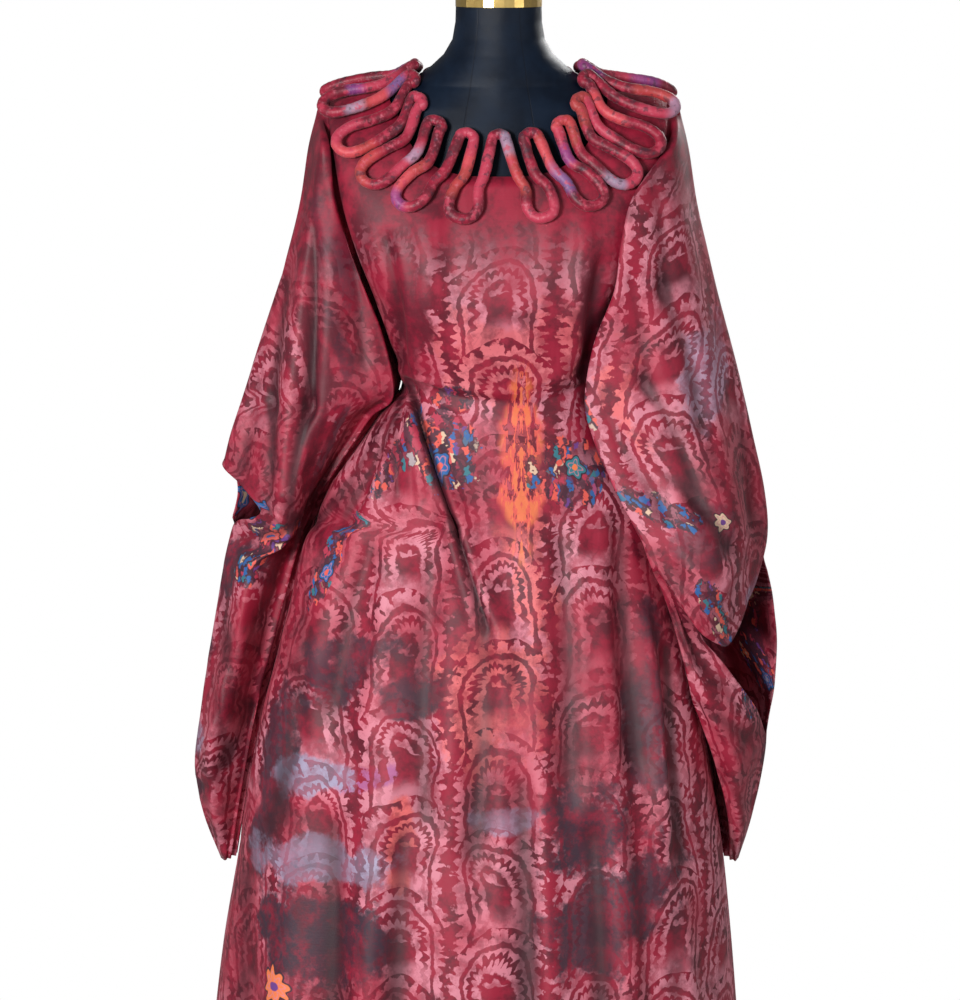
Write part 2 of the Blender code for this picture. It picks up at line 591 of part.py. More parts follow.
def sleeve(name, side, table, slit, front_folds, panels, body):
    """One sleeve: both layers joined at the outer fold except along the hand opening."""
    front_layer, back_layer = sleeve_halves(side, table, *panels, body)
    forward = np.array([0.25 * side, -1.0, 0.0])
    front_layer = folded(front_layer, np.broadcast_to(forward, front_layer.shape), front_folds)
    back_folds = [fold[1:] for fold in SLEEVE_BACK_FOLDS if fold[0] == side]
    backward = np.array([0.25 * side, 1.0, 0.0])
    back_layer = folded(back_layer, np.broadcast_to(backward, back_layer.shape), back_folds)
    front_layer = held_off_body(front_layer, body, 0, BEND_COLUMN)
    back_layer = held_off_body(back_layer, body, SLEEVE_BACK_COLUMNS, SLEEVE_BACK_COLUMNS + 2)
    rows, front_count = front_layer.shape[:2]
    back_count = back_layer.shape[1]
    points = np.vstack([front_layer.reshape(-1, 3), back_layer.reshape(-1, 3)])
    faces = grid_faces(rows, front_count, flip=side < 0)
    faces += grid_faces(rows, back_count, flip=side < 0, first=rows * front_count)
    shared = {}
    for r in range(rows):
        if not slit[0] < r < slit[1]:
            shared[rows * front_count + r * back_count] = r * front_count + front_count - 1
    faces = [tuple(shared.get(i, i) for i in face) for face in faces]
    used = sorted({i for face in faces for i in face})
    place = {old: new for new, old in enumerate(used)}
    faces = [tuple(place[i] for i in face) for face in faces]
    cloth_wall(name, points[used], faces)
    return points[used], faces


def panel_point(panels, row_at, angle):
    """A point on the body panels and its outward direction, at a collar angle in degrees."""
    angle = angle % 360
    grid, outward = panels[1] if angle > 180 else panels[0]
    column = (360 - angle if angle > 180 else angle) / 180 * (grid.shape[1] - 1)
    c = min(int(column), grid.shape[1] - 2)
    r = min(int(row_at), grid.shape[0] - 2)
    weights = ((1 - row_at + r) * (1 - column + c), (1 - row_at + r) * (column - c),
               (row_at - r) * (1 - column + c), (row_at - r) * (column - c))
    corners = ((r, c), (r, c + 1), (r + 1, c), (r + 1, c + 1))
    place = sum(w * grid[i] for w, i in zip(weights, corners))
    normal = sum(w * outward[i] for w, i in zip(weights, corners))
    return place, normal / np.linalg.norm(normal)


def collar_point(panels, angle, reach):
    """Centre of the rouleau at a collar angle. Reach runs from -1, the inner ends of the
    arches over the neck, past 0, the neckline, to 1, the tips of the loops."""
    turn = math.radians(angle)
    cosine, sine = math.cos(turn), math.sin(turn)
    out = max(reach, 0.0)
    place, normal = panel_point(panels, COLLAR_REACH_ROWS * out, angle)
    lift = ROULEAU_RADIUS + CLOTH_THICKNESS / 2 + COLLAR_CLEARANCE
    place = place + normal * (lift + COLLAR_SHOULDER_LIFT * abs(cosine) ** 6 * out)
    place[0] -= math.copysign(COLLAR_SHOULDER_REACH * abs(cosine) ** 3 * out ** 2, cosine)
    if reach < 0:
        ring = ARCH_RING
        depth, height = ("y_front", "z_front") if sine > 0 else ("y_back", "z_back")
        inner = np.array([-math.copysign(abs(cosine) ** (2 / ring["power"]), cosine)
                          * ring["half_width"],
                          ring[depth] * abs(sine) ** (2 / ring["power"]) + 0.004,
                          ring["z_side"] + (ring[height] - ring["z_side"]) * abs(sine)])
        place = place * (1 + reach) - inner * reach
    return place


def arch_angles(panels):
    """Collar angles of the arches, evenly spaced over the neck's front and over its back."""
    angles = []
    for first, loops in ((0, len(FRONT_LOOPS)), (180, len(BACK_LOOPS))):
        fine = np.linspace(first, first + 180, 181)
        ring = np.array([collar_point(panels, angle, -1.0) for angle in fine])
        along = np.concatenate([[0], np.cumsum(np.linalg.norm(np.diff(ring, axis=0), axis=1))])
        even = np.linspace(0, along[-1], loops + 1)[:-1]
        angles += list(np.interp(even, along, fine))
    return angles


def arch_half(panels, arch, towards):
    """Half an arch, from its leg to its top, on the side of the larger or smaller angles."""
    top = collar_point(panels, arch, -1.0)
    along = collar_point(panels, arch + towards, -1.0) - top
    along /= np.linalg.norm(along)
    down = collar_point(panels, arch, 0.0) - top
    down -= along * along.dot(down)
    down /= np.linalg.norm(down)
    return [top + (down * row["below"] + along * row["aside"]) * MM
            for row in named_rows(ARCH_ROWS, ARCH_COLUMNS)]


def collar_path(panels):
    """The rouleau's closed line, starting at the arch over the -X shoulder."""
    arches = arch_angles(panels)
    path = []
    for before, tip, after in zip(arches, FRONT_LOOPS + BACK_LOOPS, [*arches[1:], 360]):
        for side, arch in ((-1, before), (1, after)):
            half = []
            for row in named_rows(LOOP_ROWS, LOOP_COLUMNS):
                span = np.linalg.norm(collar_point(panels, arch, row["reach"])
                                      - collar_point(panels, tip, row["reach"])) / MM
                share = row["share"] + row["aside"] / span
                half.append(collar_point(panels, tip + share * (arch - tip), row["reach"]))
            half += arch_half(panels, arch, -side)
            path += half[:0:-1] if side < 0 else half[:-1]
    return np.array(path)


def tube(name, centres, runs, radius, sides, material_name):
    """A closed round cord through centres, square to runs, turning as little as it can."""
    across = np.cross(runs[0], (0.0, 0.0, 1.0))
    points, faces = [], []
    for centre, run in zip(centres, runs):
        across = across - run * across.dot(run)
        across /= np.linalg.norm(across)
        other = np.cross(run, across)
        for k in range(sides):
            turn = 2 * math.pi * k / sides
            points.append(centre + radius * (across * math.cos(turn) + other * math.sin(turn)))
    for i in range(len(centres) - 1):
        for k in range(sides):
            j = (k + 1) % sides
            faces.append((i * sides + k, i * sides + j, (i + 1) * sides + j, (i + 1) * sides + k))
    faces.append(tuple(range(sides))[::-1])
    faces.append(tuple(range((len(centres) - 1) * sides, len(centres) * sides)))
    return add_mesh(name, points, faces, material_name)


def settled(path, cloth):
    """The rouleau's line with its points and the middles between them clear of cloth and form."""
    def clear(point):
        point = held_off(point, cloth, ROULEAU_RADIUS + CLOTH_THICKNESS / 2 + COLLAR_CLEARANCE)
        return clear_of_form(point, ROULEAU_RADIUS + COLLAR_OFF_FORM)

    path = path.copy()
    for _ in range(6):
        for i in range(len(path)):
            path[i] = clear(path[i])
            middle = (path[i - 1] + path[i]) / 2
            shift = clear(middle) - middle
            path[i - 1] += shift
            path[i] += shift
    return path


def collar(panels, cloth):
    """Two lengths of rouleau that meet at an arch over each shoulder."""
    path = settled(collar_path(panels), cloth)
    runs = np.roll(path, -1, axis=0) - np.roll(path, 1, axis=0)
    runs /= np.linalg.norm(runs, axis=1, keepdims=True)
    count = len(path)
    parting = len(FRONT_LOOPS) * POINTS_PER_LOOP
    for name, first, last in (("collar_front", 0, parting), ("collar_back", parting, count)):
        index = np.arange(first, last + 1) % count
        centres = path[index]
        centres[0] += runs[index[0]] * SEAM_GAP / 2
        centres[-1] -= runs[index[-1]] * SEAM_GAP / 2
        tube(name, centres, runs[index], ROULEAU_RADIUS, ROULEAU_SIDES, "rouleau")


def ring_of(radius_at, height, sides=FORM_SIDES):
    """A level ring of points, seen from above anticlockwise, with radius_at(angle)."""
    turns = [2 * math.pi * i / sides for i in range(sides)]
    return [(radius_at(t) * math.cos(t), radius_at(t) * math.sin(t), height) for t in turns]


def lofted(name, rings, material_name):
    """A closed body through rings of equal count, top to bottom, with flat ends."""
    sides = len(rings[0])
    points = [p for ring in rings for p in ring]
    faces = []
    for r in range(len(rings) - 1):
        for i in range(sides):
            j = (i + 1) % sides
            faces.append((r * sides + i, (r + 1) * sides + i, (r + 1) * sides + j, r * sides + j))
    faces.append(tuple(range(sides)))
    faces.append(tuple(reversed(range((len(rings) - 1) * sides, len(rings) * sides))))
    made = add_mesh(name, points, faces, material_name)
    made.data.set_sharp_from_angle(angle=math.radians(50))
    return made


def turned(name, profile, material_name):
    """A closed body turned about Z from (radius, height) points, top to bottom."""
    return lofted(name, [ring_of(lambda _, r=r: r, z) for r, z in profile], material_name)


def dress_form():
    """The padded torso with a blind socket underneath for the pole, and its neck cap."""
    heights = [row[0] * MM for row in FORM_ROWS]
    rings = [ring_of(lambda turn, z=z: form_radius(z, turn), z) for z in heights]
    socket = POLE_RADIUS + SEAM_GAP
    for height in (heights[-1], heights[-1] + POLE_PLUG_DEPTH):
        rings.append(ring_of(lambda _: socket, height))
    lofted("dress_form", rings, "form")
    under = heights[0] + SEAM_GAP
    turned("neck_cap", ((NECK_CAP_RADIUS * 0.55, under + NECK_CAP_HEIGHT),
                        (NECK_CAP_RADIUS * 0.86, under + NECK_CAP_HEIGHT * 0.88),
                        (NECK_CAP_RADIUS, under + NECK_CAP_HEIGHT * 0.5),
                        (NECK_CAP_RADIUS, under)), "brass")


def stand():
    """A pole plugged into the form, and a round floor plate with the pole's socket."""
    pole_top = FORM_ROWS[-1][0] * MM + POLE_PLUG_DEPTH - SEAM_GAP
    foot = BASE_THICKNESS
    turned("stand_pole", ((POLE_RADIUS, pole_top), (POLE_RADIUS, foot + SEAM_GAP)), "steel")
    turned("stand_base", ((POLE_RADIUS + SEAM_GAP, foot),
                          (POLE_RADIUS + SEAM_GAP, foot + SOCKET_HEIGHT),
                          (SOCKET_RADIUS, foot + SOCKET_HEIGHT),
                          (SOCKET_RADIUS + 0.003, foot + 0.003),
                          (BASE_RADIUS - 0.004, foot),
                          (BASE_RADIUS, foot - 0.004),
                          (BASE_RADIUS, 0.0)), "steel")


def main():
    clear_scene()
    panels = (body_panel("front", False, FRONT_COLUMNS), body_panel("back", True, BACK_COLUMNS))
    points, faces = [], []
    for (grid, _), flip in zip(panels, (False, True)):
        faces += grid_faces(*grid.shape[:2], flip=flip, first=len(points))
        points += list(grid.reshape(-1, 3))
    body = tree_of(points, faces)
    for name, side, table, slit, folds in (
            ("sleeve_right", -1, SLEEVE_RIGHT_ROWS, SLEEVE_RIGHT_SLIT, SLEEVE_RIGHT_FOLDS),
            ("sleeve_left", 1, SLEEVE_LEFT_ROWS, SLEEVE_LEFT_SLIT, SLEEVE_LEFT_FOLDS)):
        sleeve_points, sleeve_faces = sleeve(name, side, table, slit, folds, panels, body)
        faces += [tuple(len(points) + i for i in face) for face in sleeve_faces]
        points += list(sleeve_points)
    collar(panels, tree_of(points, faces))
    dress_form()
    stand()


main()
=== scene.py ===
"""Looks of a grand boubou robe with a looped rouleau collar, on a limbless dress form.

Units are metres, +Z is up, -Y is the front. Tables are in millimetres, and MM turns them into
metres. Cloth sections, folds and creases are worked out as the solids are, on a finer grid.
Motifs are placed by (u, v): metres round the body from the centre line, and height.
"""
import math

import bpy
import numpy as np
from mathutils import Euler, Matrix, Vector
from mathutils.bvhtree import BVHTree


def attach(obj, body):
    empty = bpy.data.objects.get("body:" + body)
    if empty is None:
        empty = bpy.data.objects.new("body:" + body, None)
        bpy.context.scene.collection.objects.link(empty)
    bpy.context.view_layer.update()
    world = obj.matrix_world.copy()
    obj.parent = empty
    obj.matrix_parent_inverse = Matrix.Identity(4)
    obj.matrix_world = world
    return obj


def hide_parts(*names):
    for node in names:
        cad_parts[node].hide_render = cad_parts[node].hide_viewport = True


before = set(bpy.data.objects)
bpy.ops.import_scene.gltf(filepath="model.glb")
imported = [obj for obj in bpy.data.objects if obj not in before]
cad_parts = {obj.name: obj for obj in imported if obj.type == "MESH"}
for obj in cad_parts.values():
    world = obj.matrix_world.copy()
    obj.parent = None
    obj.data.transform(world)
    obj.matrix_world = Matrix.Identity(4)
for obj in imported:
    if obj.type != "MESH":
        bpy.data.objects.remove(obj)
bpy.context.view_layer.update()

MM = 0.001

# Camera at the photograph's angle, and its 960 x 1000 frame
CAMERA_PLACE = (-0.0216, -3.2, 1.60)
CAMERA_PITCH = math.radians(90 - 12.0996)
CAMERA_LENS = 98.18
SENSOR = 36.0

# How much light the white surroundings give, how bright they look, and the round floor
SKY_LIGHT = 0.21
SKY_SEEN = 1.0
FLOOR_RADIUS = 0.63
FLOOR_SIDES = 96

# Cloth, as in the solids
CLOTH_THICKNESS = 0.0020
LAP = CLOTH_THICKNESS + 0.0006
FRONT_COLUMNS = 28
BACK_COLUMNS = 22
SLEEVE_FRONT_COLUMNS = 12
SLEEVE_BACK_COLUMNS = 9
BEND_COLUMN = 5
STEPS_PER_SPAN = 24
ROOT_SHARE = 0.16
CLOTH_OFF_FORM = 0.0045
SLEEVE_OFF_BODY = 0.0090
SLEEVE_PLY_GAP = 0.0085
ROWS_CLOSING = 4
LEAST_PLY = 0.45
SLEEVE_RISE = 0.0020
EDGE_OFF_BODY = 0.0040
SIDE_SEAM_Y = 4.0
SET_IN_ANGLE = 62
FOLD_FADE = 1.6
BEND_FALL = 0.1
BELLY_FALL = 0.62
BACK_BEND_OUT = 0.007
SETTLING_ROUNDS = 6
NEAREST_SEARCH = 0.05

# Cloth as fine shells: how thick, how many columns, and how high a row of each panel is
SHELL_THICKNESS = 0.0012
FINE_FRONT_COLUMNS = 228
FINE_BACK_COLUMNS = 160
FRONT_ROW_HEIGHT = 7.4
BACK_ROW_HEIGHT = 9.0
PINCHED = (800, 1110)
PINCHED_ROW_HEIGHT = 5.0
FINER = 6
FINE_SLEEVE_GAP = 0.0022
SLEEVE_FOLD_ASIDE = 0.25
HEM_CORNER = 0.004
FAR_FROM_HEM = 1.0

# Collar
ROULEAU_RADIUS = 0.0060
COLLAR_REACH_ROWS = 1.80
COLLAR_CLEARANCE = 0.0005
COLLAR_OFF_FORM = 0.0015
COLLAR_SHOULDER_LIFT = 0.0100
COLLAR_SHOULDER_REACH = 0.0080
ARCH_RING = {"half_width": 0.097, "y_front": -0.088, "y_back": 0.088, "power": 3.2,
             "z_side": 1.4315, "z_front": 1.357, "z_back": 1.414, "shift": 0.004}
FINE_PER_POINT = 7
PADDED_RADIUS = 0.0066
FINE_SIDES = 16
END_TAPER = 0.004
END_SHARE = 0.55

# Puckers of the rouleau: how much of its radius, and their pitch
SLOW_PUCKER, SLOW_PITCH = 0.035, 0.043
FINE_PUCKER, FINE_PITCH = 0.030, 0.0073
TWIST_PUCKER, TWIST_LENGTH = 0.020, 0.012

# Dress form
FINE_FORM_SIDES = 96
FINE_FORM_RINGS = 6
FORM_INSET = 0.0004
FORM_SHARP = math.radians(50)
FORM_LIFTS = np.radians((-75, -45, -20, 0, 20, 45))

BODY_COLUMNS = ("z_side", "w_right", "w_left", "z_front", "y_front", "z_back", "y_back",
                "armhole", "set_in", "power")
BODY_ROWS = (
    (1412, 120, 120, 1310, -98, 1394, 86, 0, 0, 3.2),
    (1405, 158, 158, 1284, -110, 1368, 101, 0, 0, 3.0),
    (1393, 194, 194, 1256, -121, 1336, 111, 0, 0, 2.8),
    (1345, 190, 188, 1214, -131, 1292, 116, 30, 0, 2.5),
    (1292, 181, 178, 1176, -134, 1248, 115, 42, 0, 2.3),
    (1240, 167, 164, 1142, -131, 1204, 108, 32, 0, 2.2),
    (1190, 152, 150, 1112, -124, 1160, 101, 0, 0, 2.1),
    (1120, 130, 128, 1080, -112, 1104, 94, 0, 2, 2.15),
    (1055, 114, 112, 1052, -101, 1052, 92, 0, 4, 2.2),
    (1015, 143, 124, 1013, -110, 1013, 106, 0, 12, 2.3),
    (965, 181, 148, 962, -130, 962, 124, 0, 18, 2.4),
    (915, 213, 172, 912, -152, 912, 138, 0, 20, 2.4),
    (860, 232, 194, 856, -168, 856, 152, 0, 20, 2.4),
    (800, 246, 211, 796, -183, 796, 165, 0, 18, 2.35),
    (740, 262, 226, 736, -196, 736, 176, 0, 18, 2.3),
    (675, 280, 239, 671, -208, 671, 187, 0, 18, 2.3),
    (605, 295, 253, 602, -220, 602, 198, 0, 16, 2.25),
    (535, 308, 266, 533, -230, 533, 208, 0, 14, 2.2),
    (465, 320, 277, 463, -240, 463, 217, 0, 10, 2.2),
    (370, 337, 288, 369, -250, 369, 228, 0, 6, 2.2),
    (265, 351, 298, 264, -260, 264, 238, 0, 4, 2.2),
    (150, 364, 309, 150, -270, 150, 248, 0, 2, 2.2),
    (32, 376, 320, 32, -280, 32, 258, 0, 0, 2.2),
)
FORM_CLEAR_ROWS = 13

# Folds and creases from (x0, z0) to (x1, z1), as seen from the front. A row may leave out its bow.
FOLD_COLUMNS = ("x0", "z0", "x1", "z1", "width0", "width1", "height0", "height1", "lean", "bow")
FRONT_FOLDS = (
    (-96, 1020, -16, 800, 16, 26, 6, 18, 0.5),
    (-120, 1000, -205, 760, 18, 26, 6, 14, -0.4),
    (-112, 980, -120, 820, 16, 24, 4, 10, 0.3),
    (-205, 860, -250, 560, 22, 28, 5, 10, -0.4),
    (-128, 740, -160, 50, 26, 32, 6, 26, -0.2),
    (-50, 640, -56, 50, 26, 32, 5, 22, 0.2),
    (40, 880, 54, 50, 22, 32, 6, 26, 0.3),
    (112, 860, 158, 50, 20, 30, 8, 28, 0.3),
    (172, 740, 242, 50, 20, 28, 6, 24, 0.2),
    (-240, 520, -262, 50, 24, 32, 6, 26, -0.2),
    (-84, 1090, -76, 1240, 14, 20, 4, 6, 0.0),
    (72, 1090, 98, 1220, 14, 20, 5, 7, 0.0),
)
BACK_FOLDS = (
    (-84, 1020, -250, 50, 16, 30, 4, 30, 0.0),
    (-50, 1020, -158, 50, 16, 30, 4, 26, 0.2),
    (-18, 1020, -66, 50, 16, 30, 4, 30, 0.0),
    (14, 1020, 24, 50, 16, 30, 4, 26, -0.2),
    (46, 1020, 112, 50, 16, 30, 4, 30, 0.0),
    (78, 1020, 200, 50, 16, 30, 4, 27, -0.2),
    (-52, 1090, -84, 1280, 15, 22, 4, 6, 0.0),
    (48, 1090, 88, 1270, 15, 22, 4, 6, 0.0),
)
FRONT_CREASES = (
    (-106, 1064, -50, 916, 4.5, 5, -10, -13, 0.0, 0),
    (-50, 916, -16, 806, 5, 7, -13, -8, 0.0, 0),
    (-113, 1052, -62, 916, 6, 7, 4, 8, 0.7, 0),
    (-62, 916, -30, 812, 7, 9, 8, 4, 0.6, 0),
    (-113, 1078, -106, 1064, 7, 7, 7, 7, 0.0, 0),
    (-100, 1058, -72, 930, 5, 8, -4, -5, 0.0, 5),
    (-111, 1056, -117, 948, 4, 7, -6, -7, 0.0, -5),
    (-106, 1050, -101, 940, 4, 7, 4, 5, 0.4, 0),
    (-114, 1050, -176, 920, 5, 8, -6, -8, 0.0, 5),
    (-120, 1052, -186, 940, 5, 8, 4, 6, -0.4, 5),
    (-128, 1036, -214, 900, 5, 9, -5, -9, 0.0, 6),
    (-117, 1044, -142, 948, 4, 7, 4, 5, -0.4, 0),
    (-104, 1070, 30, 1050, 5, 7, -5, -2, 0.0, -5),
    (-104, 1078, 16, 1064, 5, 8, 4, 2, 0.0, -4),
    (-100, 1062, 4, 1034, 5, 8, -4, -2, 0.0, -4),
    (86, 1060, 20, 1046, 5, 7, -4, -2, 0.0, 3),
    (92, 1070, 40, 1076, 5, 7, 3, 2, 0.0, 3),
    (-128, 1236, -113, 1086, 9, 8, -6, -7.5, 0, 5),
    (-112, 1230, -100, 1100, 10, 8, 4.5, 4.5, 0, 4),
    (-90, 1290, -84, 1180, 12, 16, 2.2, 3.8, 0, 0),
    (-60, 1280, -52, 1150, 12, 16, -1.8, -3, 0, 0),
    (98, 1250, 92, 1110, 10, 10, 4.5, 4.5, 0, -4),
    (116, 1210, 100, 1080, 8, 8, -6, -6, 0, -4),
    (60, 1290, 56, 1190, 14, 18, 2.2, 3, 0, 0),
    (-18, 800, -30, 560, 16, 22, -6, -9, 0, 6),
    (6, 790, 4, 420, 14, 20, 4.5, 7.5, 0, -4),
    (-78, 860, -84, 600, 13, 18, -6, -7.5, 0, -6),
    (-60, 840, -58, 650, 12, 16, 3.8, 6, 0.3, 4),
    (-150, 880, -190, 700, 11, 16, -6, -7.5, 0, -5),
    (-130, 870, -150, 690, 11, 15, 4.5, 6, -0.3, 5),
    (-226, 800, -262, 560, 12, 18, -6, -9, 0, 6),
    (70, 900, 80, 640, 12, 18, -6, -9, 0, 5),
    (92, 880, 100, 600, 11, 16, 4.5, 6, 0.3, -4),
    (140, 900, 160, 650, 10, 14, -7.5, -10.5, 0, -4),
    (166, 800, 190, 560, 9, 13, 6, 7.5, 0.4, 4),
    (196, 760, 214, 520, 9, 12, -7.5, -9, 0, -4),
    (26, 620, 30, 80, 16, 24, -7.5, -15, 0, 5),
    (-110, 560, -122, 60, 16, 22, -7.5, -15, 0, -6),
    (-190, 560, -214, 60, 15, 22, -7.5, -13.5, 0, 6),
    (108, 560, 124, 60, 15, 20, -7.5, -13.5, 0, 5),
    (206, 480, 226, 60, 14, 18, -6, -10.5, 0, -4),
    (-300, 480, -322, 60, 14, 20, -6, -12, 0, 4),
    (-12, 420, -20, 60, 14, 20, 4.5, 10.5, 0, 4),
    (80, 380, 92, 60, 13, 18, 4.5, 9, 0, -4),
    (-236, 300, -246, 60, 13, 18, 4.5, 9, 0, 4),
)
BACK_CREASES = (
    (-96, 1068, -30, 900, 7, 12, -5.6, -8.4, 0, 6),
    (-86, 1070, -10, 930, 7, 12, 2.8, 5.6, 0.3, 6),
    (94, 1066, 40, 890, 7, 12, -5.6, -8.4, 0, -5),
    (100, 1060, 96, 900, 6, 11, 2.8, 4.2, 0, -4),
    (-102, 1064, 10, 1056, 6, 8, -2.8, -1.4, 0, 4),
    (96, 1072, 20, 1064, 6, 8, -2.8, -1.4, 0, 4),
    (-112, 1230, -96, 1090, 9, 9, -5.6, -5.6, 0, 4),
    (110, 1230, 94, 1090, 9, 9, -5.6, -5.6, 0, -4),
    (-66, 1290, -58, 1120, 12, 16, 2.8, 4.2, 0, 0),
    (58, 1280, 50, 1120, 12, 16, 2.8, 4.2, 0, 0),
    (-140, 1000, -220, 640, 10, 16, -7, -9.8, 0, 6),
    (-40, 960, -96, 500, 10, 18, -5.6, -9.8, 0, -6),
    (4, 940, 0, 480, 10, 16, -5.6, -8.4, 0, 5),
    (62, 960, 92, 520, 10, 17, -5.6, -9.8, 0, 6),
    (132, 960, 176, 560, 10, 16, -7, -9.8, 0, -6),
    (-188, 560, -206, 60, 14, 20, -7, -12.6, 0, 6),
    (-112, 460, -120, 60, 14, 20, 5.6, 11.2, 0, -6),
    (46, 480, 60, 60, 14, 20, -7, -12.6, 0, 6),
    (160, 500, 176, 60, 14, 20, -7, -12.6, 0, -6),
    (236, 480, 254, 60, 13, 18, 5.6, 9.8, 0, 4),
)

SLEEVE_TOP_ROWS = 2
SLEEVE_COLUMNS = ("root", "bend_x", "bend_y", "belly_x", "belly_y", "sag", "edge_x", "edge_y",
                  "edge_z", "fold_x", "fold_y", "fold_z", "back_y")
SLEEVE_RIGHT_ROWS = (
    (2.08, 0, 0, 0, 0, 0, 208, 5, 1388, 208, 5, 1388, 0),
    (2.35, 0, 0, 0, 0, 0, 213, 4, 1369, 213, 4, 1369, 0),
    (3.00, 191, -56, 209, -44, 0, 222, 0, 1334, 222, 0, 1334, 54),
    (4.00, 184, -60, 213, -54, 0, 234, 0, 1275, 234, 0, 1275, 64),
    (5.00, 173, -60, 219, -60, 0, 248, 0, 1222, 248, 0, 1222, 70),
    (6.00, 161, -58, 225, -66, 0, 263, 0, 1168, 263, 0, 1168, 76),
    (7.00, 142, -54, 229, -72, 0, 282, -2, 1105, 282, -2, 1105, 80),
    (8.00, 128, -50, 231, -78, 0, 300, -4, 1042, 300, -4, 1042, 84),
    (9.00, 142, -24, 240, -82, -10, 313, -6, 1000, 313, -6, 1000, 86),
    (9.60, 165, -16, 250, -86, -20, 324, -8, 970, 324, -8, 970, 88),
    (9.85, 176, -16, 250, -88, -26, 327, -14, 957, 321, 4, 952, 88),
    (10.10, 182, -16, 248, -82, -36, 303, -44, 940, 314, 10, 938, 88),
    (10.40, 192, -16, 246, -74, -36, 284, -56, 916, 313, 12, 920, 88),
    (10.70, 202, -16, 252, -64, -30, 296, -44, 902, 316, 8, 904, 88),
    (11.00, 212, -14, 264, -58, -30, 315, -14, 888, 320, 0, 888, 88),
    (12.00, 230, -14, 290, -62, 0, 329, -8, 840, 329, -8, 840, 90),
    (13.00, 246, -16, 304, -66, 0, 340, -8, 780, 340, -8, 780, 90),
    (14.00, 264, -18, 318, -66, 0, 351, -6, 720, 351, -6, 720, 90),
    (15.00, 284, -18, 332, -60, 0, 360, -4, 656, 360, -4, 656, 84),
    (16.00, 302, -16, 344, -50, 0, 370, -2, 584, 370, -2, 584, 72),
    (17.00, 317, -14, 343, -34, 0, 361, 0, 520, 361, 0, 520, 52),
    (18.00, 330, -10, 335, -12, 0, 341, 2, 462, 341, 2, 462, 26),
)
SLEEVE_LEFT_ROWS = (
    (2.08, 0, 0, 0, 0, 0, 208, 5, 1388, 208, 5, 1388, 0),
    (2.35, 0, 0, 0, 0, 0, 213, 4, 1369, 213, 4, 1369, 0),
    (3.00, 190, -58, 208, -46, 0, 222, 0, 1332, 222, 0, 1332, 54),
    (4.00, 152, -102, 202, -80, 0, 231, 0, 1272, 231, 0, 1272, 64),
    (5.00, 134, -108, 200, -92, 0, 243, 0, 1216, 243, 0, 1216, 70),
    (6.00, 124, -102, 204, -94, 0, 257, 0, 1162, 257, 0, 1162, 76),
    (7.00, 111, -92, 206, -96, 0, 276, -2, 1098, 276, -2, 1098, 80),
    (8.00, 106, -88, 210, -98, 0, 293, -4, 1036, 293, -4, 1036, 82),
    (9.00, 114, -96, 220, -102, 0, 304, -6, 990, 304, -6, 990, 82),
    (10.00, 136, -109, 236, -108, 0, 317, -8, 934, 317, -8, 934, 80),
    (11.00, 162, -124, 250, -120, -8, 323, -10, 884, 323, -10, 884, 76),
    (11.30, 172, -130, 252, -128, -18, 317, -20, 846, 319, -6, 850, 72),
    (11.55, 178, -132, 246, -134, -26, 294, -66, 796, 325, -2, 826, 70),
    (11.80, 184, -134, 234, -146, -16, 268, -120, 766, 330, 0, 806, 68),
    (12.00, 188, -124, 222, -128, -4, 248, -112, 776, 333, 2, 790, 68),
    (12.30, 192, -116, 216, -112, -4, 236, -96, 780, 336, 4, 768, 68),
    (12.60, 195, -112, 220, -106, -8, 244, -92, 762, 338, 4, 752, 68),
    (13.00, 200, -108, 230, -106, -6, 262, -92, 742, 339, 4, 732, 70),
    (13.50, 207, -108, 248, -110, -12, 290, -82, 704, 338, 2, 704, 72),
    (14.00, 214, -108, 262, -112, -16, 312, -54, 670, 336, 0, 676, 74),
    (14.50, 222, -108, 272, -108, -16, 321, -28, 646, 331, -4, 650, 76),
    (15.00, 231, -102, 280, -100, -12, 326, -12, 622, 326, -12, 622, 74),
    (16.00, 250, -84, 288, -78, -6, 321, -4, 562, 321, -4, 562, 64),
    (17.00, 268, -56, 290, -48, 0, 307, 0, 510, 307, 0, 510, 48),
    (18.00, 286, -14, 292, -14, 0, 297, 2, 462, 297, 2, 462, 26),
)
SLEEVE_RIGHT_SLIT = (9, 14)
SLEEVE_LEFT_SLIT = (10, 21)
SLEEVE_RIGHT_FOLDS = (
    (-236, 1300, -264, 905, 15, 22, 8, 30, 0.6),
    (-300, 1100, -312, 1000, 16, 18, 4, 7, -0.3),
    (-270, 800, -325, 650, 20, 24, 5, 11, -0.4),
    (-300, 690, -350, 600, 16, 22, 4, 8, 0.3),
)
SLEEVE_LEFT_FOLDS = (
    (236, 1240, 262, 960, 22, 30, 5, 10, 0.2),
    (214, 1000, 250, 860, 22, 26, 6, 14, 0.3),
    (222, 740, 305, 640, 22, 28, 6, 20, -0.4),
    (262, 600, 290, 520, 16, 18, 5, 9, 0.4),
)
SLEEVE_BACK_FOLDS = (
    (1, 212, 1300, 250, 940, 18, 26, 6, 12, 0.0),
    (1, 262, 880, 300, 600, 20, 24, 6, 11, 0.0),
    (-1, -212, 1300, -250, 940, 18, 26, 6, 12, 0.0),
    (-1, -266, 880, -322, 600, 20, 24, 6, 11, 0.0),
)
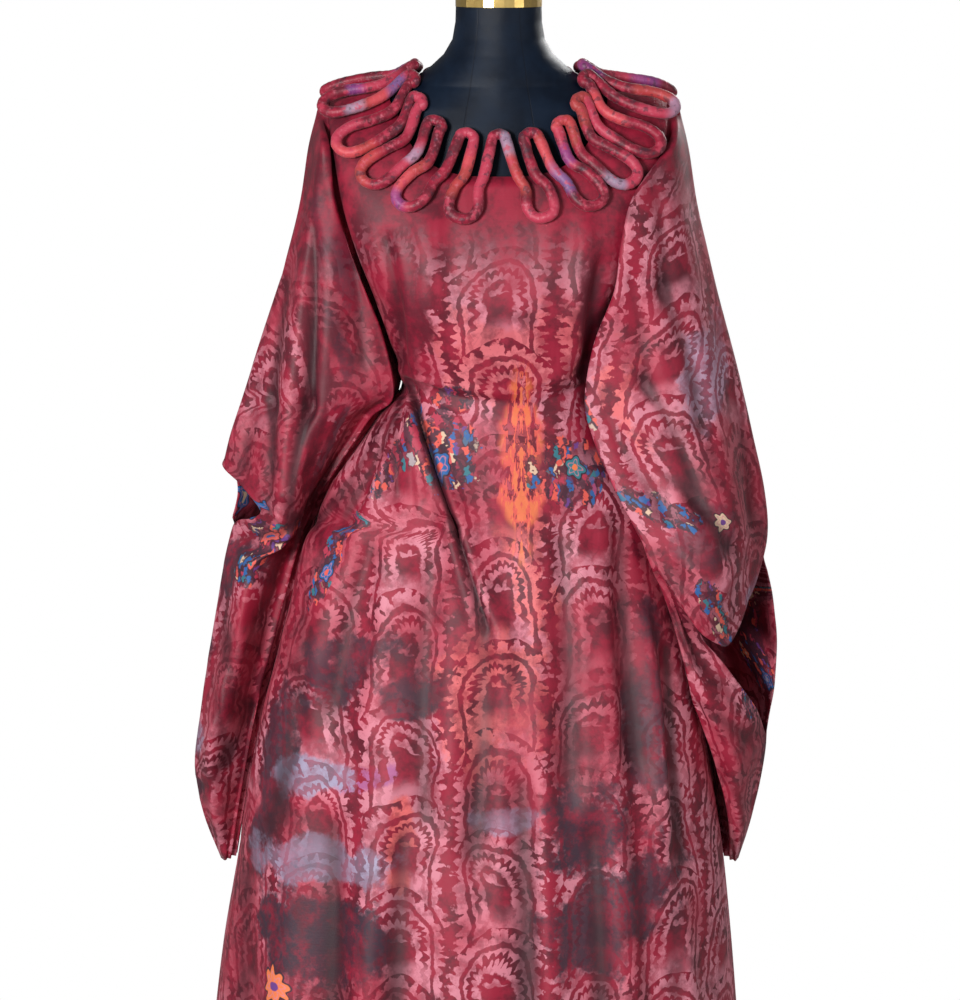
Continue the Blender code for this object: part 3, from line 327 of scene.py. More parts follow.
SLEEVE_RIGHT_CREASES = (
    (-214, 1245, -222, 1040, 7, 9, -7.2, -12.6, 0, 3),
    (-222, 1040, -245, 905, 8, 8, -12.6, -9, 0, -6),
    (-246, 1200, -266, 1040, 8, 8, -5.4, -10.8, 0, 0),
    (-266, 1040, -270, 920, 8, 7, -10.8, -7.2, 0, 3),
    (-190, 1290, -196, 1100, 10, 12, 3.6, 5.4, 0, 3),
    (-170, 1230, -160, 1090, 9, 9, -5.4, -7.2, 0, 0),
    (-284, 1060, -300, 960, 9, 10, -4.5, -5.4, 0, 0),
    (-308, 872, -232, 912, 7, 9, -7.2, -5.4, 0, 5),
    (-300, 850, -240, 880, 8, 9, 4.5, 3.6, 0, 4),
    (-322, 756, -300, 660, 8, 9, -7.2, -5.4, 0, -8),
    (-300, 800, -290, 700, 9, 10, 4.5, 5.4, 0, -5),
    (-362, 560, -300, 660, 8, 10, -5.4, -5.4, 0, 5),
    (-345, 640, -300, 740, 8, 11, 4.5, 5.4, 0, 5),
    (-345, 700, -330, 600, 8, 10, -5.4, -7.2, 0, 5),
    (-330, 820, -338, 740, 8, 10, -4.5, -5.4, 0, 4),
)
SLEEVE_LEFT_CREASES = (
    (178, 1300, 190, 1180, 9, 11, -4.2, -6.8, 0, 4),
    (190, 1180, 235, 1020, 10, 12, -6.8, -8.5, 0, 6),
    (214, 1260, 240, 1100, 10, 12, 4.2, 5.1, 0, 0),
    (150, 1190, 172, 1070, 9, 10, -5.1, -6.8, 0, 4),
    (172, 1070, 232, 940, 9, 12, -6.8, -8.5, 0, 6),
    (140, 1120, 158, 1010, 8, 10, 4.2, 5.1, 0, 0),
    (130, 1030, 186, 940, 7, 9, -5.1, -6.8, 0, -5),
    (190, 970, 268, 880, 9, 12, -5.1, -8.5, 0, 8),
    (170, 930, 236, 836, 9, 11, 4.2, 6.8, 0, 5),
    (282, 1040, 300, 900, 9, 10, -5.1, -6.8, 0, 4),
    (256, 1000, 286, 880, 9, 11, 4.2, 5.1, 0, 4),
    (205, 800, 262, 716, 8, 10, -6.8, -6.8, 0, -5),
    (222, 700, 300, 640, 8, 10, -5.1, -6.8, 0, 6),
    (240, 640, 296, 600, 8, 9, 4.2, 5.1, 0, 5),
    (300, 800, 318, 660, 8, 10, -5.1, -5.1, 0, 5),
    (262, 600, 300, 545, 7, 9, -5.1, -5.1, 0, 4),
)
SLEEVE_BACK_CREASES = (
    (1, 196, 1290, 226, 980, 10, 12, -4.2, -8.4, 0, 5),
    (1, 240, 1180, 284, 900, 10, 12, -4.2, -7, 0, -5),
    (1, 236, 840, 268, 620, 9, 11, -5.6, -7, 0, 5),
    (1, 292, 800, 306, 620, 9, 10, -4.2, -5.6, 0, -4),
    (-1, -196, 1290, -226, 980, 10, 12, -4.2, -8.4, 0, -5),
    (-1, -250, 1180, -290, 900, 10, 12, -4.2, -7, 0, 5),
    (-1, -246, 840, -290, 620, 9, 11, -5.6, -7, 0, -5),
    (-1, -310, 820, -336, 600, 9, 10, -4.2, -5.6, 0, 4),
)

LOOP_COLUMNS = ("reach", "share", "aside")
LOOP_ROWS = (
    (1.00, 0.0, 0.0),
    (0.93, 0.0, 12.5),
    (0.72, 0.0, 17.0),
    (0.35, 0.0, 14.0),
    (0.00, 0.5, 0.0),
)
ARCH_COLUMNS = ("below", "aside")
ARCH_ROWS = ((10.0, 8.6), (2.8, 6.4), (0.0, 0.0))
POINTS_PER_LOOP = 2 * (len(LOOP_ROWS) + len(ARCH_ROWS)) - 2
FRONT_LOOPS = (8.5, 26, 44, 63.5, 83, 98.5, 117.5, 136, 153.5, 171)
BACK_LOOPS = (190, 218.5, 246, 263.5, 276.5, 294, 321.5, 350)

FORM_ROWS = (
    (1497, 50, -47, 50, 2.0), (1480, 50.5, -48, 51, 2.0), (1460, 54, -51, 56, 2.0),
    (1443, 64, -54, 60, 2.0), (1430, 78, -57, 64, 1.9), (1418, 95, -60, 68, 1.75),
    (1408, 116, -62, 72, 1.6), (1398, 140, -64, 76, 1.6), (1384, 163, -67, 81, 1.7),
    (1364, 174, -72, 87, 1.8), (1335, 176, -79, 93, 1.9), (1300, 171, -90, 97, 2.0),
    (1265, 162, -104, 97, 2.05), (1225, 152, -115, 94, 2.1), (1185, 140, -116, 88, 2.1),
    (1130, 120, -104, 82, 2.1), (1055, 101, -86, 77, 2.1), (1000, 109, -90, 86, 2.1),
    (940, 132, -98, 99, 2.1), (880, 147, -101, 108, 2.1), (815, 148, -98, 105, 2.1),
    (765, 138, -89, 94, 2.1), (745, 124, -78, 80, 2.1),
)

# Dyes, as linear colours, and the dark colour of the painted shade in the creases
DYES = {
    "crimson": (0.33, 0.007, 0.034), "deep": (0.120, 0.004, 0.017), "rose": (0.52, 0.040, 0.085),
    "pale": (0.68, 0.225, 0.295), "pink": (0.78, 0.150, 0.210), "salmon": (0.84, 0.115, 0.085),
    "smoke": (0.036, 0.015, 0.031), "lilac": (0.38, 0.35, 0.50), "blue": (0.022, 0.13, 0.38),
    "teal": (0.03, 0.20, 0.25), "violet": (0.16, 0.05, 0.26), "orange": (0.90, 0.21, 0.075),
    "cream": (0.80, 0.55, 0.38), "mauve": (0.38, 0.09, 0.28), "painted_crease_shade": (0.022, 0.003, 0.008),
}

# Soft stretches of another dye, by cloth: centre, half width and height, tilt in degrees, how much.
# Some deep and smoke stretches are painted shade instead, as marked where they stand.
TINT_COLUMNS = ("dye", "u", "v", "wide", "high", "tilt", "much")
FRONT_TINTS = (
    ("salmon", 34, 900, 36, 110, 0, 0.6), ("salmon", -10, 730, 74, 80, 0, 0.6),
    # Painted shade: the deep stretches at u -112 and 118 darken the troughs between the bodice and
    # the sleeves
    ("salmon", 30, 1110, 80, 60, 0, 0.4), ("deep", -112, 1180, 26, 90, 0, 0.9),
    ("deep", 118, 1110, 22, 100, 0, 0.9), ("salmon", -120, 560, 16, 70, 0, 0.7),
    ("smoke", -190, 756, 60, 40, 12, 0.8), ("smoke", -112, 722, 34, 30, 0, 0.8),
    ("mauve", -150, 632, 60, 16, 14, 0.8), ("lilac", -240, 622, 60, 20, 10, 0.9),
    ("lilac", -232, 520, 84, 26, 4, 0.9), ("smoke", -236, 446, 100, 52, 6, 0.9),
    ("smoke", 104, 570, 60, 52, -12, 0.9), ("smoke", 150, 470, 84, 56, 10, 0.8),
    # Painted shade: the smoke stretch at u 200 darkens the cloth along the edge of the sleeve at +X
    ("smoke", 200, 720, 30, 150, 0, 0.7), ("lilac", 20, 586, 40, 16, 0, 0.7),
    ("smoke", -300, 620, 30, 110, -16, 0.8), ("smoke", -30, 300, 110, 50, 6, 0.8),
    ("lilac", 120, 330, 60, 26, 0, 0.8), ("smoke", 240, 250, 80, 60, 10, 0.8),
    ("smoke", -280, 190, 80, 50, 0, 0.8), ("salmon", 40, 150, 110, 50, 0, 0.6),
)
BACK_TINTS = (
    ("salmon", 20, 900, 60, 120, 0, 0.7), ("smoke", -150, 760, 60, 60, 12, 0.9),
    ("smoke", 180, 700, 60, 80, -8, 0.9), ("lilac", 120, 560, 80, 26, 5, 0.9),
    ("lilac", -220, 480, 70, 26, -6, 0.9), ("smoke", -40, 420, 100, 60, 6, 0.9),
    ("salmon", -60, 640, 80, 70, 0, 0.6), ("smoke", 230, 330, 90, 70, 0, 0.8),
    ("mauve", 60, 500, 60, 18, 10, 0.8), ("salmon", 60, 200, 120, 60, 0, 0.6),
    ("smoke", -200, 200, 90, 50, 0, 0.8),
)
SLEEVE_RIGHT_TINTS = (
    # Painted shade: the deep stretches at u -262 and -206 and the smoke strips at u -228 and -190
    # darken the troughs beside the bodice and beside the sleeve's raised fold, and the shadow that
    # fold casts
    ("deep", -262, 1040, 18, 130, 4, 0.9), ("deep", -206, 900, 14, 120, 0, 0.8),
    ("smoke", -320, 830, 50, 36, 0, 0.9), ("smoke", -340, 740, 30, 50, 0, 0.8),
    ("smoke", -228, 1000, 12, 120, 0, 0.6), ("lilac", -310, 620, 34, 26, 0, 0.7),
    ("smoke", -300, 560, 50, 26, 0, 0.8), ("smoke", -190, 1230, 20, 60, 0, 0.5),
)
SLEEVE_LEFT_TINTS = (
    ("lilac", 300, 1080, 36, 60, 0, 0.5), ("smoke", 250, 900, 60, 26, 20, 0.5),
    ("salmon", 190, 1050, 30, 60, 10, 0.6), ("smoke", 290, 740, 50, 34, 0, 0.8),
    ("smoke", 330, 610, 50, 40, 0, 0.8), ("lilac", 352, 800, 30, 36, 0, 0.7),
)

# Soft stretches of a dense small floral print, by cloth, laid out as the tints are
FRONT_FLORALS = (
    ("floral", -70, 990, 50, 40, 0, 1.0), ("floral", 86, 972, 50, 34, 0, 1.0),
    ("floral", -132, 990, 16, 60, -30, 0.9), ("floral", -226, 872, 14, 60, -26, 1.0),
    ("floral", -60, 1052, 30, 14, 0, 0.7), ("floral", 30, 90, 70, 40, 0, 1.0),
)
BACK_FLORALS = (
    ("floral", 0, 1000, 80, 44, 0, 1.0), ("floral", -190, 900, 40, 50, 0, 1.0),
    ("floral", 180, 880, 40, 50, 0, 1.0), ("floral", 90, 330, 60, 40, 0, 1.0),
)
SLEEVE_RIGHT_FLORALS = (
    ("floral", -268, 890, 44, 18, 0, 1.0), ("floral", -262, 850, 20, 30, 20, 0.9),
)
SLEEVE_LEFT_FLORALS = (
    ("floral", 140, 1060, 14, 50, 30, 1.0), ("floral", 190, 930, 50, 18, -20, 1.0),
    ("floral", 240, 800, 18, 50, 20, 1.0), ("floral", 285, 700, 40, 34, 30, 1.0),
)

# Flowers drawn one by one, by cloth: centre, radius, petals, petal dye, heart dye, turn in degrees
FLOWER_COLUMNS = ("u", "v", "radius", "petals", "dye", "heart", "turn")
FRONT_FLOWERS = (
    (-64, 976, 12, 5, "blue", "salmon", 10), (92, 972, 13, 5, "teal", "orange", 0),
    (-226, 858, 12, 5, "blue", "salmon", 12), (-300, 372, 22, 8, "orange", "violet", 0),
)
BACK_FLOWERS = (
    (-70, 990, 12, 5, "blue", "orange", 10), (60, 980, 12, 6, "teal", "cream", 30),
    (200, 860, 12, 5, "blue", "orange", 0), (60, 320, 14, 6, "blue", "orange", 15),
)
SLEEVE_RIGHT_FLOWERS = (
    (-330, 908, 13, 5, "blue", "cream", 12), (-276, 888, 10, 5, "salmon", "blue", 0),
)
SLEEVE_LEFT_FLOWERS = (
    (268, 905, 13, 6, "cream", "violet", 0), (288, 690, 14, 5, "blue", "lilac", 0),
    (312, 712, 10, 6, "orange", "cream", 0),
)


def split_quads(points, faces):
    """Two triangles per quad, along its shorter diagonal."""
    triangles = []
    for a, b, c, d in faces:
        if np.linalg.norm(points[a] - points[c]) <= np.linalg.norm(points[b] - points[d]):
            triangles += [(a, b, c), (a, c, d)]
        else:
            triangles += [(a, b, d), (b, c, d)]
    return triangles


def tree_of(points, faces):
    return BVHTree.FromPolygons([tuple(p) for p in points], split_quads(np.array(points), faces))


def held_off(point, tree, gap):
    """The point moved out from the tree's surface until it is at least gap from it."""
    place, normal, _, distance = tree.find_nearest(Vector(point), gap + NEAREST_SEARCH)
    if place is None:
        return np.array(point)
    outside = (Vector(point) - place).dot(normal) > 0
    signed = distance if outside else -distance
    if signed >= gap:
        return np.array(point)
    return np.array(Vector(point) + normal * (gap - signed))


def smooth_step(value):
    t = np.clip(value, 0.0, 1.0)
    return t * t * (3.0 - 2.0 * t)


def curve_span(values, i, t):
    """Values at t, from 0 to 1, on the smooth curve from row i of an array to the next."""
    p1, p2 = values[i], values[i + 1]
    p0 = values[i - 1] if i > 0 else 2 * p1 - p2
    p3 = values[i + 2] if i + 2 < len(values) else 2 * p2 - p1
    return 0.5 * (2 * p1 + (p2 - p0) * t + (2 * p0 - 5 * p1 + 4 * p2 - p3) * t ** 2
                  + (3 * p1 - p0 - 3 * p2 + p3) * t ** 3)


def finer_rows(values, steps):
    """Rows of a smooth curve through an array's rows. Steps is one number, or one for each span."""
    values = np.asarray(values, float)
    steps = [steps] * (len(values) - 1) if isinstance(steps, int) else steps
    fine = [curve_span(values, i, t) for i, count in enumerate(steps)
            for t in np.arange(count) / count]
    return np.array([*fine, values[-1]])


def spline(points, runs):
    """Samples of a smooth curve through the points, spaced by length in each run.

    runs lists (last point of the run, number of steps in it).
    """
    points = np.asarray(points, float)
    t = np.linspace(0, 1, STEPS_PER_SPAN, endpoint=False)[:, None]
    fine = np.vstack([*(curve_span(points, i, t) for i in range(len(points) - 1)), points[-1:]])
    along = np.concatenate([[0], np.cumsum(np.linalg.norm(np.diff(fine, axis=0), axis=1))])
    wanted = [0.0]
    for last, steps in runs:
        wanted += list(np.linspace(wanted[-1], along[last * STEPS_PER_SPAN], steps + 1)[1:])
    return np.stack([np.interp(wanted, along, fine[:, k]) for k in range(3)], axis=1)


def named_rows(table, columns):
    return [dict(zip(columns, row)) for row in table]


def grid_normals(grid):
    """Unit normals of a grid of points, on the side of (next column) x (next row)."""
    down = np.gradient(grid, axis=0)
    across = np.gradient(grid, axis=1)
    normal = np.cross(across, down)
    return normal / np.maximum(np.linalg.norm(normal, axis=2, keepdims=True), 1e-9)


def folded(grid, outward, folds):
    """The grid with its folds raised along outward, or sunk where the height is below 0.

    Bow is how far a fold's middle lies aside from its straight line, towards +X if upright.
    """
    result = grid.copy()
    for fold in named_rows([(*row, 0) for row in folds], FOLD_COLUMNS):
        start = np.array([fold["x0"], fold["z0"]]) * MM
        run = np.array([fold["x1"], fold["z1"]]) * MM - start
        length = np.linalg.norm(run)
        run = run / length
        side = np.array([-run[1], run[0]])
        side = side if side[0] > 0 else -side
        offset = grid[:, :, [0, 2]] - start
        along = offset @ run / length
        share = np.clip(along, 0, 1)
        across = offset @ side - fold["bow"] * MM * 4 * share * (1 - share)
        width = (fold["width0"] * (1 - share) + fold["width1"] * share) * MM
        height = (fold["height0"] * (1 - share) + fold["height1"] * share) * MM
        beyond = np.maximum(np.maximum(-along, along - 1), 0) * length
        fade = np.exp(-(beyond / (FOLD_FADE * width)) ** 2)
        crest = height * fade * np.exp(-(across / width) ** 2)
        result += outward * crest[:, :, None]
        result[:, :, 0] += fold["lean"] * crest * side[0]
        result[:, :, 2] += fold["lean"] * crest * side[1]
    return result


def hollow_of(grid, folds):
    """How deep each point of a grid lies in the troughs of a table of folds, in metres."""
    level = np.zeros_like(grid)
    outward = np.zeros_like(grid)
    outward[:, :, 1] = 1.0
    sunk = [(*fold[:6], min(fold[6], 0), min(fold[7], 0), 0.0, *fold[9:]) for fold in folds]
    level[:, :, 0], level[:, :, 2] = grid[:, :, 0], grid[:, :, 2]
    return np.maximum(-folded(level, outward, sunk)[:, :, 1], 0)


def set_in_share(angle):
    """How much of a section's set-in there is at an angle: none in front, all at the seam."""
    return smooth_step((angle - SET_IN_ANGLE) / (90 - SET_IN_ANGLE))


def body_section(row, back, angles):
    """Points of one body section. Angle -90 is the side seam at -X, 0 the centre, 90 at +X."""
    depth = row["y_back"] if back else row["y_front"]
    centre_z = row["z_back"] if back else row["z_front"]
    seam_y = (row["armhole"] if back else -row["armhole"]) + SIDE_SEAM_Y
    turn = np.radians(angles)
    sine = np.abs(np.sin(turn)) ** (2 / row["power"])
    cosine = np.abs(np.cos(turn)) ** (2 / row["power"])
    inward = set_in_share(np.abs(np.asarray(angles, float)))
    half = np.where(np.asarray(angles) < 0, row["w_right"], row["w_left"])
    spread = sine * (1 - inward * row["set_in"] / half)
    probe = np.radians(np.linspace(40, 90, 101))
    probe_in = set_in_share(np.degrees(probe))
    widest = [np.max(np.sin(probe) ** (2 / row["power"]) * (1 - probe_in * row["set_in"] / w))
              for w in (row["w_right"], row["w_left"])]
    spread = spread / np.where(np.asarray(angles) < 0, *widest)
    x = np.sign(turn) * spread * half
    y = seam_y + (depth - seam_y) * cosine
    z = row["z_side"] + (centre_z - row["z_side"]) * np.abs(np.cos(turn))
    return np.stack([x, y, z], axis=1) * MM


def form_radius(height, turn):
    """How far the form's surface is from the axis, at a height and an angle about Z."""
    table = np.array(FORM_ROWS, float)[::-1]
    half, y_front, y_back, power = (np.interp(height / MM, table[:, 0], table[:, k])
                                    for k in (1, 2, 3, 4))
    depth = y_back if math.sin(turn) > 0 else -y_front
    share = abs(math.cos(turn) / half) ** power + abs(math.sin(turn) / depth) ** power
    return MM * share ** (-1 / power)


def clear_of_form(point, gap):
    """The point moved straight out from the axis until it is gap away from the form."""
    turn = math.atan2(point[1], point[0])
    needed = max(form_radius(point[2] + gap * math.sin(lift), turn) + gap * math.cos(lift)
                 for lift in FORM_LIFTS)
    radius = math.hypot(point[0], point[1])
    if point[2] > FORM_ROWS[0][0] * MM or radius >= needed:
        return point
    return np.array([point[0] * needed / radius, point[1] * needed / radius, point[2]])


def outward_of(grid, back):
    return grid_normals(grid) * (1 if back else -1)


def folded_panel(table, back, columns):
    """Rows of points from the neckline to the hem, from the seam at -X to the seam at +X."""
    angles = np.linspace(-90, 90, columns + 1)
    grid = np.array([body_section(row, back, angles) for row in named_rows(table, BODY_COLUMNS)])
    return folded(grid, outward_of(grid, back), BACK_FOLDS if back else FRONT_FOLDS)


def clear_rows(grid, rows, gap):
    """Moves the first rows of a grid clear of the form."""
    for r in range(rows):
        for c in range(grid.shape[1]):
            grid[r, c] = clear_of_form(grid[r, c], gap)


def body_grid(back, columns):
    """The body panel as the solid has it, and its outward directions."""
    grid = folded_panel(BODY_ROWS, back, columns)
    clear_rows(grid, FORM_CLEAR_ROWS, CLOTH_THICKNESS / 2 + CLOTH_OFF_FORM)
    return grid, outward_of(grid, back)


def grid_faces(rows, columns, flip=False, first=0):
    faces = []
    for r in range(rows - 1):
        for c in range(columns - 1):
            a = first + r * columns + c
            quad = (a, a + columns, a + columns + 1, a + 1)
            faces.append(quad[::-1] if flip else quad)
    return faces


def root_line(grid, outward, side, roots):
    """Where a sleeve is sewn to a panel: just outside its last column, at body rows roots."""
    last, before = (0, 1) if side < 0 else (-1, -2)
    edge = grid[:, last] * (1 - ROOT_SHARE) + grid[:, before] * ROOT_SHARE
    normal = outward[:, last] * (1 - ROOT_SHARE) + outward[:, before] * ROOT_SHARE
    edge = edge + normal * LAP
    index = np.arange(len(edge))
    return np.stack([np.interp(roots, index, edge[:, k]) for k in range(3)], axis=1)


def hugging_point(grid, outward, side, row_at, bend):
    """A point just outside a panel, half way from its seam to where the sleeve bends away."""
    r = min(int(row_at), len(grid) - 2)
    share = row_at - r
    line = grid[r] * (1 - share) + grid[r + 1] * share
    normal = outward[r] * (1 - share) + outward[r + 1] * share
    if side > 0:
        line, normal = line[::-1], normal[::-1]
    half = len(line) // 2
    steps = np.linspace(0, half, 20 * half + 1)
    fine = np.stack([np.interp(steps, np.arange(half + 1), line[:half + 1, k]) for k in (0, 1)])
    middle = steps[np.argmin(np.hypot(fine[0] - bend[0], fine[1] - bend[1]))] / 2
    i = int(middle)
    share = middle - i
    return (line[i] * (1 - share) + line[i + 1] * share
            + (normal[i] * (1 - share) + normal[i + 1] * share) * SLEEVE_OFF_BODY)


def ply_gap(row, rows):
    """How far a sleeve's front layer stays in front of itself, less towards its closed end."""
    return SLEEVE_PLY_GAP * float(np.clip((rows - 1 - row) / ROWS_CLOSING, LEAST_PLY, 1.0))


def quarter_round(root, edge, columns):
    """Points that leave the root sideways and reach the edge square to it."""
    turns = np.linspace(0, math.pi / 2, columns + 1)
    points = root + (edge - root) * np.sin(turns)[:, None]
    points[:, 1] = edge[1] + (root[1] - edge[1]) * np.cos(turns)
    return points


def sleeve_halves(side, table, front, back, body):
    """Front and back layers of a sleeve as grids of points, root to outer fold and on round.

    The front layer lies back over the body to a bend, then comes forward over itself.
    """
    rows = named_rows(table, SLEEVE_COLUMNS)
    roots = [row["root"] for row in rows]
    front_roots = root_line(*front, side, roots)
    back_roots = root_line(*back, side, roots)
    front_layer, back_layer = [], []
    for r, (row, front_root, back_root) in enumerate(zip(rows, front_roots, back_roots)):
        edge = np.array([side * row["edge_x"], row["edge_y"], row["edge_z"]]) * MM
        fold = np.array([side * row["fold_x"], row["fold_y"], row["fold_z"]]) * MM
        if r < SLEEVE_TOP_ROWS:
            front_layer.append(quarter_round(front_root, edge, SLEEVE_FRONT_COLUMNS))
            back_layer.append(quarter_round(back_root, edge, SLEEVE_BACK_COLUMNS)[::-1])
            continue
        fall = edge[2] - front_root[2]
        bend = np.array([side * row["bend_x"] * MM, row["bend_y"] * MM,
                         front_root[2] + BEND_FALL * fall])
        belly = np.array([side * row["belly_x"] * MM, row["belly_y"] * MM,
                          front_root[2] + BELLY_FALL * fall + row["sag"] * MM])
        hugged = hugging_point(*front, side, row["root"], bend)
        ply = ply_gap(r, len(rows))
        normal = np.array(body.find_nearest(Vector(bend))[1])
        bend = held_off(bend, body, SLEEVE_OFF_BODY + ply)
        front_layer.append(spline([front_root, hugged, bend - normal * ply, bend, belly, edge],
                                  ((2, BEND_COLUMN), (3, 1),
                                   (5, SLEEVE_FRONT_COLUMNS - BEND_COLUMN - 1))))
        depth = row["back_y"] * MM
        drop = fold[2] - back_root[2]
        back_bend = np.array([back_root[0] + side * BACK_BEND_OUT,
                              back_root[1] + 0.5 * (depth - back_root[1]),
                              back_root[2] + 0.15 * drop])
        back_belly = np.array([0.45 * back_root[0] + 0.55 * fold[0], depth,
                               back_root[2] + 0.55 * drop])
        back_layer.append(spline([fold, back_belly, back_bend, back_root],
                                 ((3, SLEEVE_BACK_COLUMNS),)))
    return np.array(front_layer), np.array(back_layer)


def held_off_body(layer, body, root_column, bend_column):
    """The layer pushed clear of the body panels, least at its root, with its edges' middles.

    Columns past bend_column lie over those before it, and stay a ply further out.
    """
    pushed = layer.copy()
    rows, columns = layer.shape[:2]
    for _ in range(SETTLING_ROUNDS):
        for r in range(SLEEVE_TOP_ROWS, rows):
            gaps = [min(LAP + SLEEVE_RISE * abs(c - root_column), SLEEVE_OFF_BODY)
                    + ply_gap(r, rows) * (c > bend_column) for c in range(columns)]
            for c in range(columns):
                pushed[r, c] = held_off(pushed[r, c], body, gaps[c])
                pushed[r, c] = clear_of_form(pushed[r, c], CLOTH_OFF_FORM)
                for other in ((r, c + 1), (r + 1, c), (r + 1, c + 1)):
                    if other[0] == rows or other[1] == columns:
                        continue
                    middle = (pushed[r, c] + pushed[other]) / 2
                    gap = min(gaps[c], gaps[other[1]], EDGE_OFF_BODY)
                    shift = held_off(middle, body, gap) - middle
                    pushed[r, c] += shift
                    pushed[other] += shift
    return pushed


def panel_point(panels, row_at, angle):
    """A point on the body panels and its outward direction, at a collar angle in degrees."""
    angle = angle % 360
    grid, outward = panels[1] if angle > 180 else panels[0]
    column = (360 - angle if angle > 180 else angle) / 180 * (grid.shape[1] - 1)
    c = min(int(column), grid.shape[1] - 2)
    r = min(int(row_at), grid.shape[0] - 2)
    weights = ((1 - row_at + r) * (1 - column + c), (1 - row_at + r) * (column - c),
               (row_at - r) * (1 - column + c), (row_at - r) * (column - c))
    corners = ((r, c), (r, c + 1), (r + 1, c), (r + 1, c + 1))
    place = sum(w * grid[i] for w, i in zip(weights, corners))
    normal = sum(w * outward[i] for w, i in zip(weights, corners))
    return place, normal / np.linalg.norm(normal)


def collar_point(panels, angle, reach):
    """Centre of the rouleau at a collar angle. Reach runs from -1, the inner ends of the
    arches over the neck, past 0, the neckline, to 1, the tips of the loops."""
    turn = math.radians(angle)
    cosine, sine = math.cos(turn), math.sin(turn)
    out = max(reach, 0.0)
    place, normal = panel_point(panels, COLLAR_REACH_ROWS * out, angle)
    lift = ROULEAU_RADIUS + CLOTH_THICKNESS / 2 + COLLAR_CLEARANCE
    place = place + normal * (lift + COLLAR_SHOULDER_LIFT * abs(cosine) ** 6 * out)
    place[0] -= math.copysign(COLLAR_SHOULDER_REACH * abs(cosine) ** 3 * out ** 2, cosine)
    if reach < 0:
        ring = ARCH_RING
        depth, height = ("y_front", "z_front") if sine > 0 else ("y_back", "z_back")
        inner = np.array([-math.copysign(abs(cosine) ** (2 / ring["power"]), cosine)
                          * ring["half_width"],
                          ring[depth] * abs(sine) ** (2 / ring["power"]) + ring["shift"],
                          ring["z_side"] + (ring[height] - ring["z_side"]) * abs(sine)])
        place = place * (1 + reach) - inner * reach
    return place


def arch_angles(panels):
    """Collar angles of the arches, evenly spaced over the neck's front and over its back."""
    angles = []
    for first, loops in ((0, len(FRONT_LOOPS)), (180, len(BACK_LOOPS))):
        fine = np.linspace(first, first + 180, 181)
        ring = np.array([collar_point(panels, angle, -1.0) for angle in fine])
        along = np.concatenate([[0], np.cumsum(np.linalg.norm(np.diff(ring, axis=0), axis=1))])
        even = np.linspace(0, along[-1], loops + 1)[:-1]
        angles += list(np.interp(even, along, fine))
    return angles


def arch_half(panels, arch, towards):
    """Half an arch, from its leg to its top, on the side of the larger or smaller angles."""
    top = collar_point(panels, arch, -1.0)
    along = collar_point(panels, arch + towards, -1.0) - top
    along /= np.linalg.norm(along)
    down = collar_point(panels, arch, 0.0) - top
    down -= along * along.dot(down)
    down /= np.linalg.norm(down)
    return [top + (down * row["below"] + along * row["aside"]) * MM
            for row in named_rows(ARCH_ROWS, ARCH_COLUMNS)]


def collar_path(panels):
    """The rouleau's closed line, starting at the arch over the -X shoulder."""
    arches = arch_angles(panels)
    path = []
    for before, tip, after in zip(arches, FRONT_LOOPS + BACK_LOOPS, [*arches[1:], 360]):
        for side, arch in ((-1, before), (1, after)):
            half = []
            for row in named_rows(LOOP_ROWS, LOOP_COLUMNS):
                span = np.linalg.norm(collar_point(panels, arch, row["reach"])
                                      - collar_point(panels, tip, row["reach"])) / MM
                share = row["share"] + row["aside"] / span
                half.append(collar_point(panels, tip + share * (arch - tip), row["reach"]))
            half += arch_half(panels, arch, -side)
            path += half[:0:-1] if side < 0 else half[:-1]
    return np.array(path)


def settled(path, cloth):
    """The rouleau's line with its points and the middles between them clear of cloth and form."""
    def clear(point):
        point = held_off(point, cloth, ROULEAU_RADIUS + CLOTH_THICKNESS / 2 + COLLAR_CLEARANCE)
        return clear_of_form(point, ROULEAU_RADIUS + COLLAR_OFF_FORM)

    path = path.copy()
    for _ in range(SETTLING_ROUNDS):
        for i in range(len(path)):
            path[i] = clear(path[i])
            middle = (path[i - 1] + path[i]) / 2
            shift = clear(middle) - middle
            path[i - 1] += shift
            path[i] += shift
    return path


def fine_body_grid(back, columns):
    """The body panel on a fine grid, with its folds and its creases."""
    table = np.array(BODY_ROWS, float)
    heights = table[:, BODY_COLUMNS.index("z_side")]
    steps = []
    for upper, lower in zip(heights, heights[1:]):
        pinched = lower < PINCHED[1] and upper > PINCHED[0]
        each = PINCHED_ROW_HEIGHT if pinched else BACK_ROW_HEIGHT if back else FRONT_ROW_HEIGHT
        steps.append(max(2, round((upper - lower) / each)))
    fine = finer_rows(table, steps)
    for name in ("armhole", "set_in"):
        k = BODY_COLUMNS.index(name)
        fine[:, k] = np.maximum(fine[:, k], 0)
    grid = folded_panel(fine, back, columns)
    grid = folded(grid, outward_of(grid, back), BACK_CREASES if back else FRONT_CREASES)
    clear_rows(grid, sum(steps[:FORM_CLEAR_ROWS]), CLOTH_OFF_FORM)
    return grid


def level_lengths(grid):
    """Metres round the body from the first column, measured level, for each point of a grid."""
    steps = np.linalg.norm(np.diff(grid[:, :, :2], axis=1), axis=2)
    return np.concatenate([np.zeros((len(grid), 1)), np.cumsum(steps, axis=1)], axis=1)


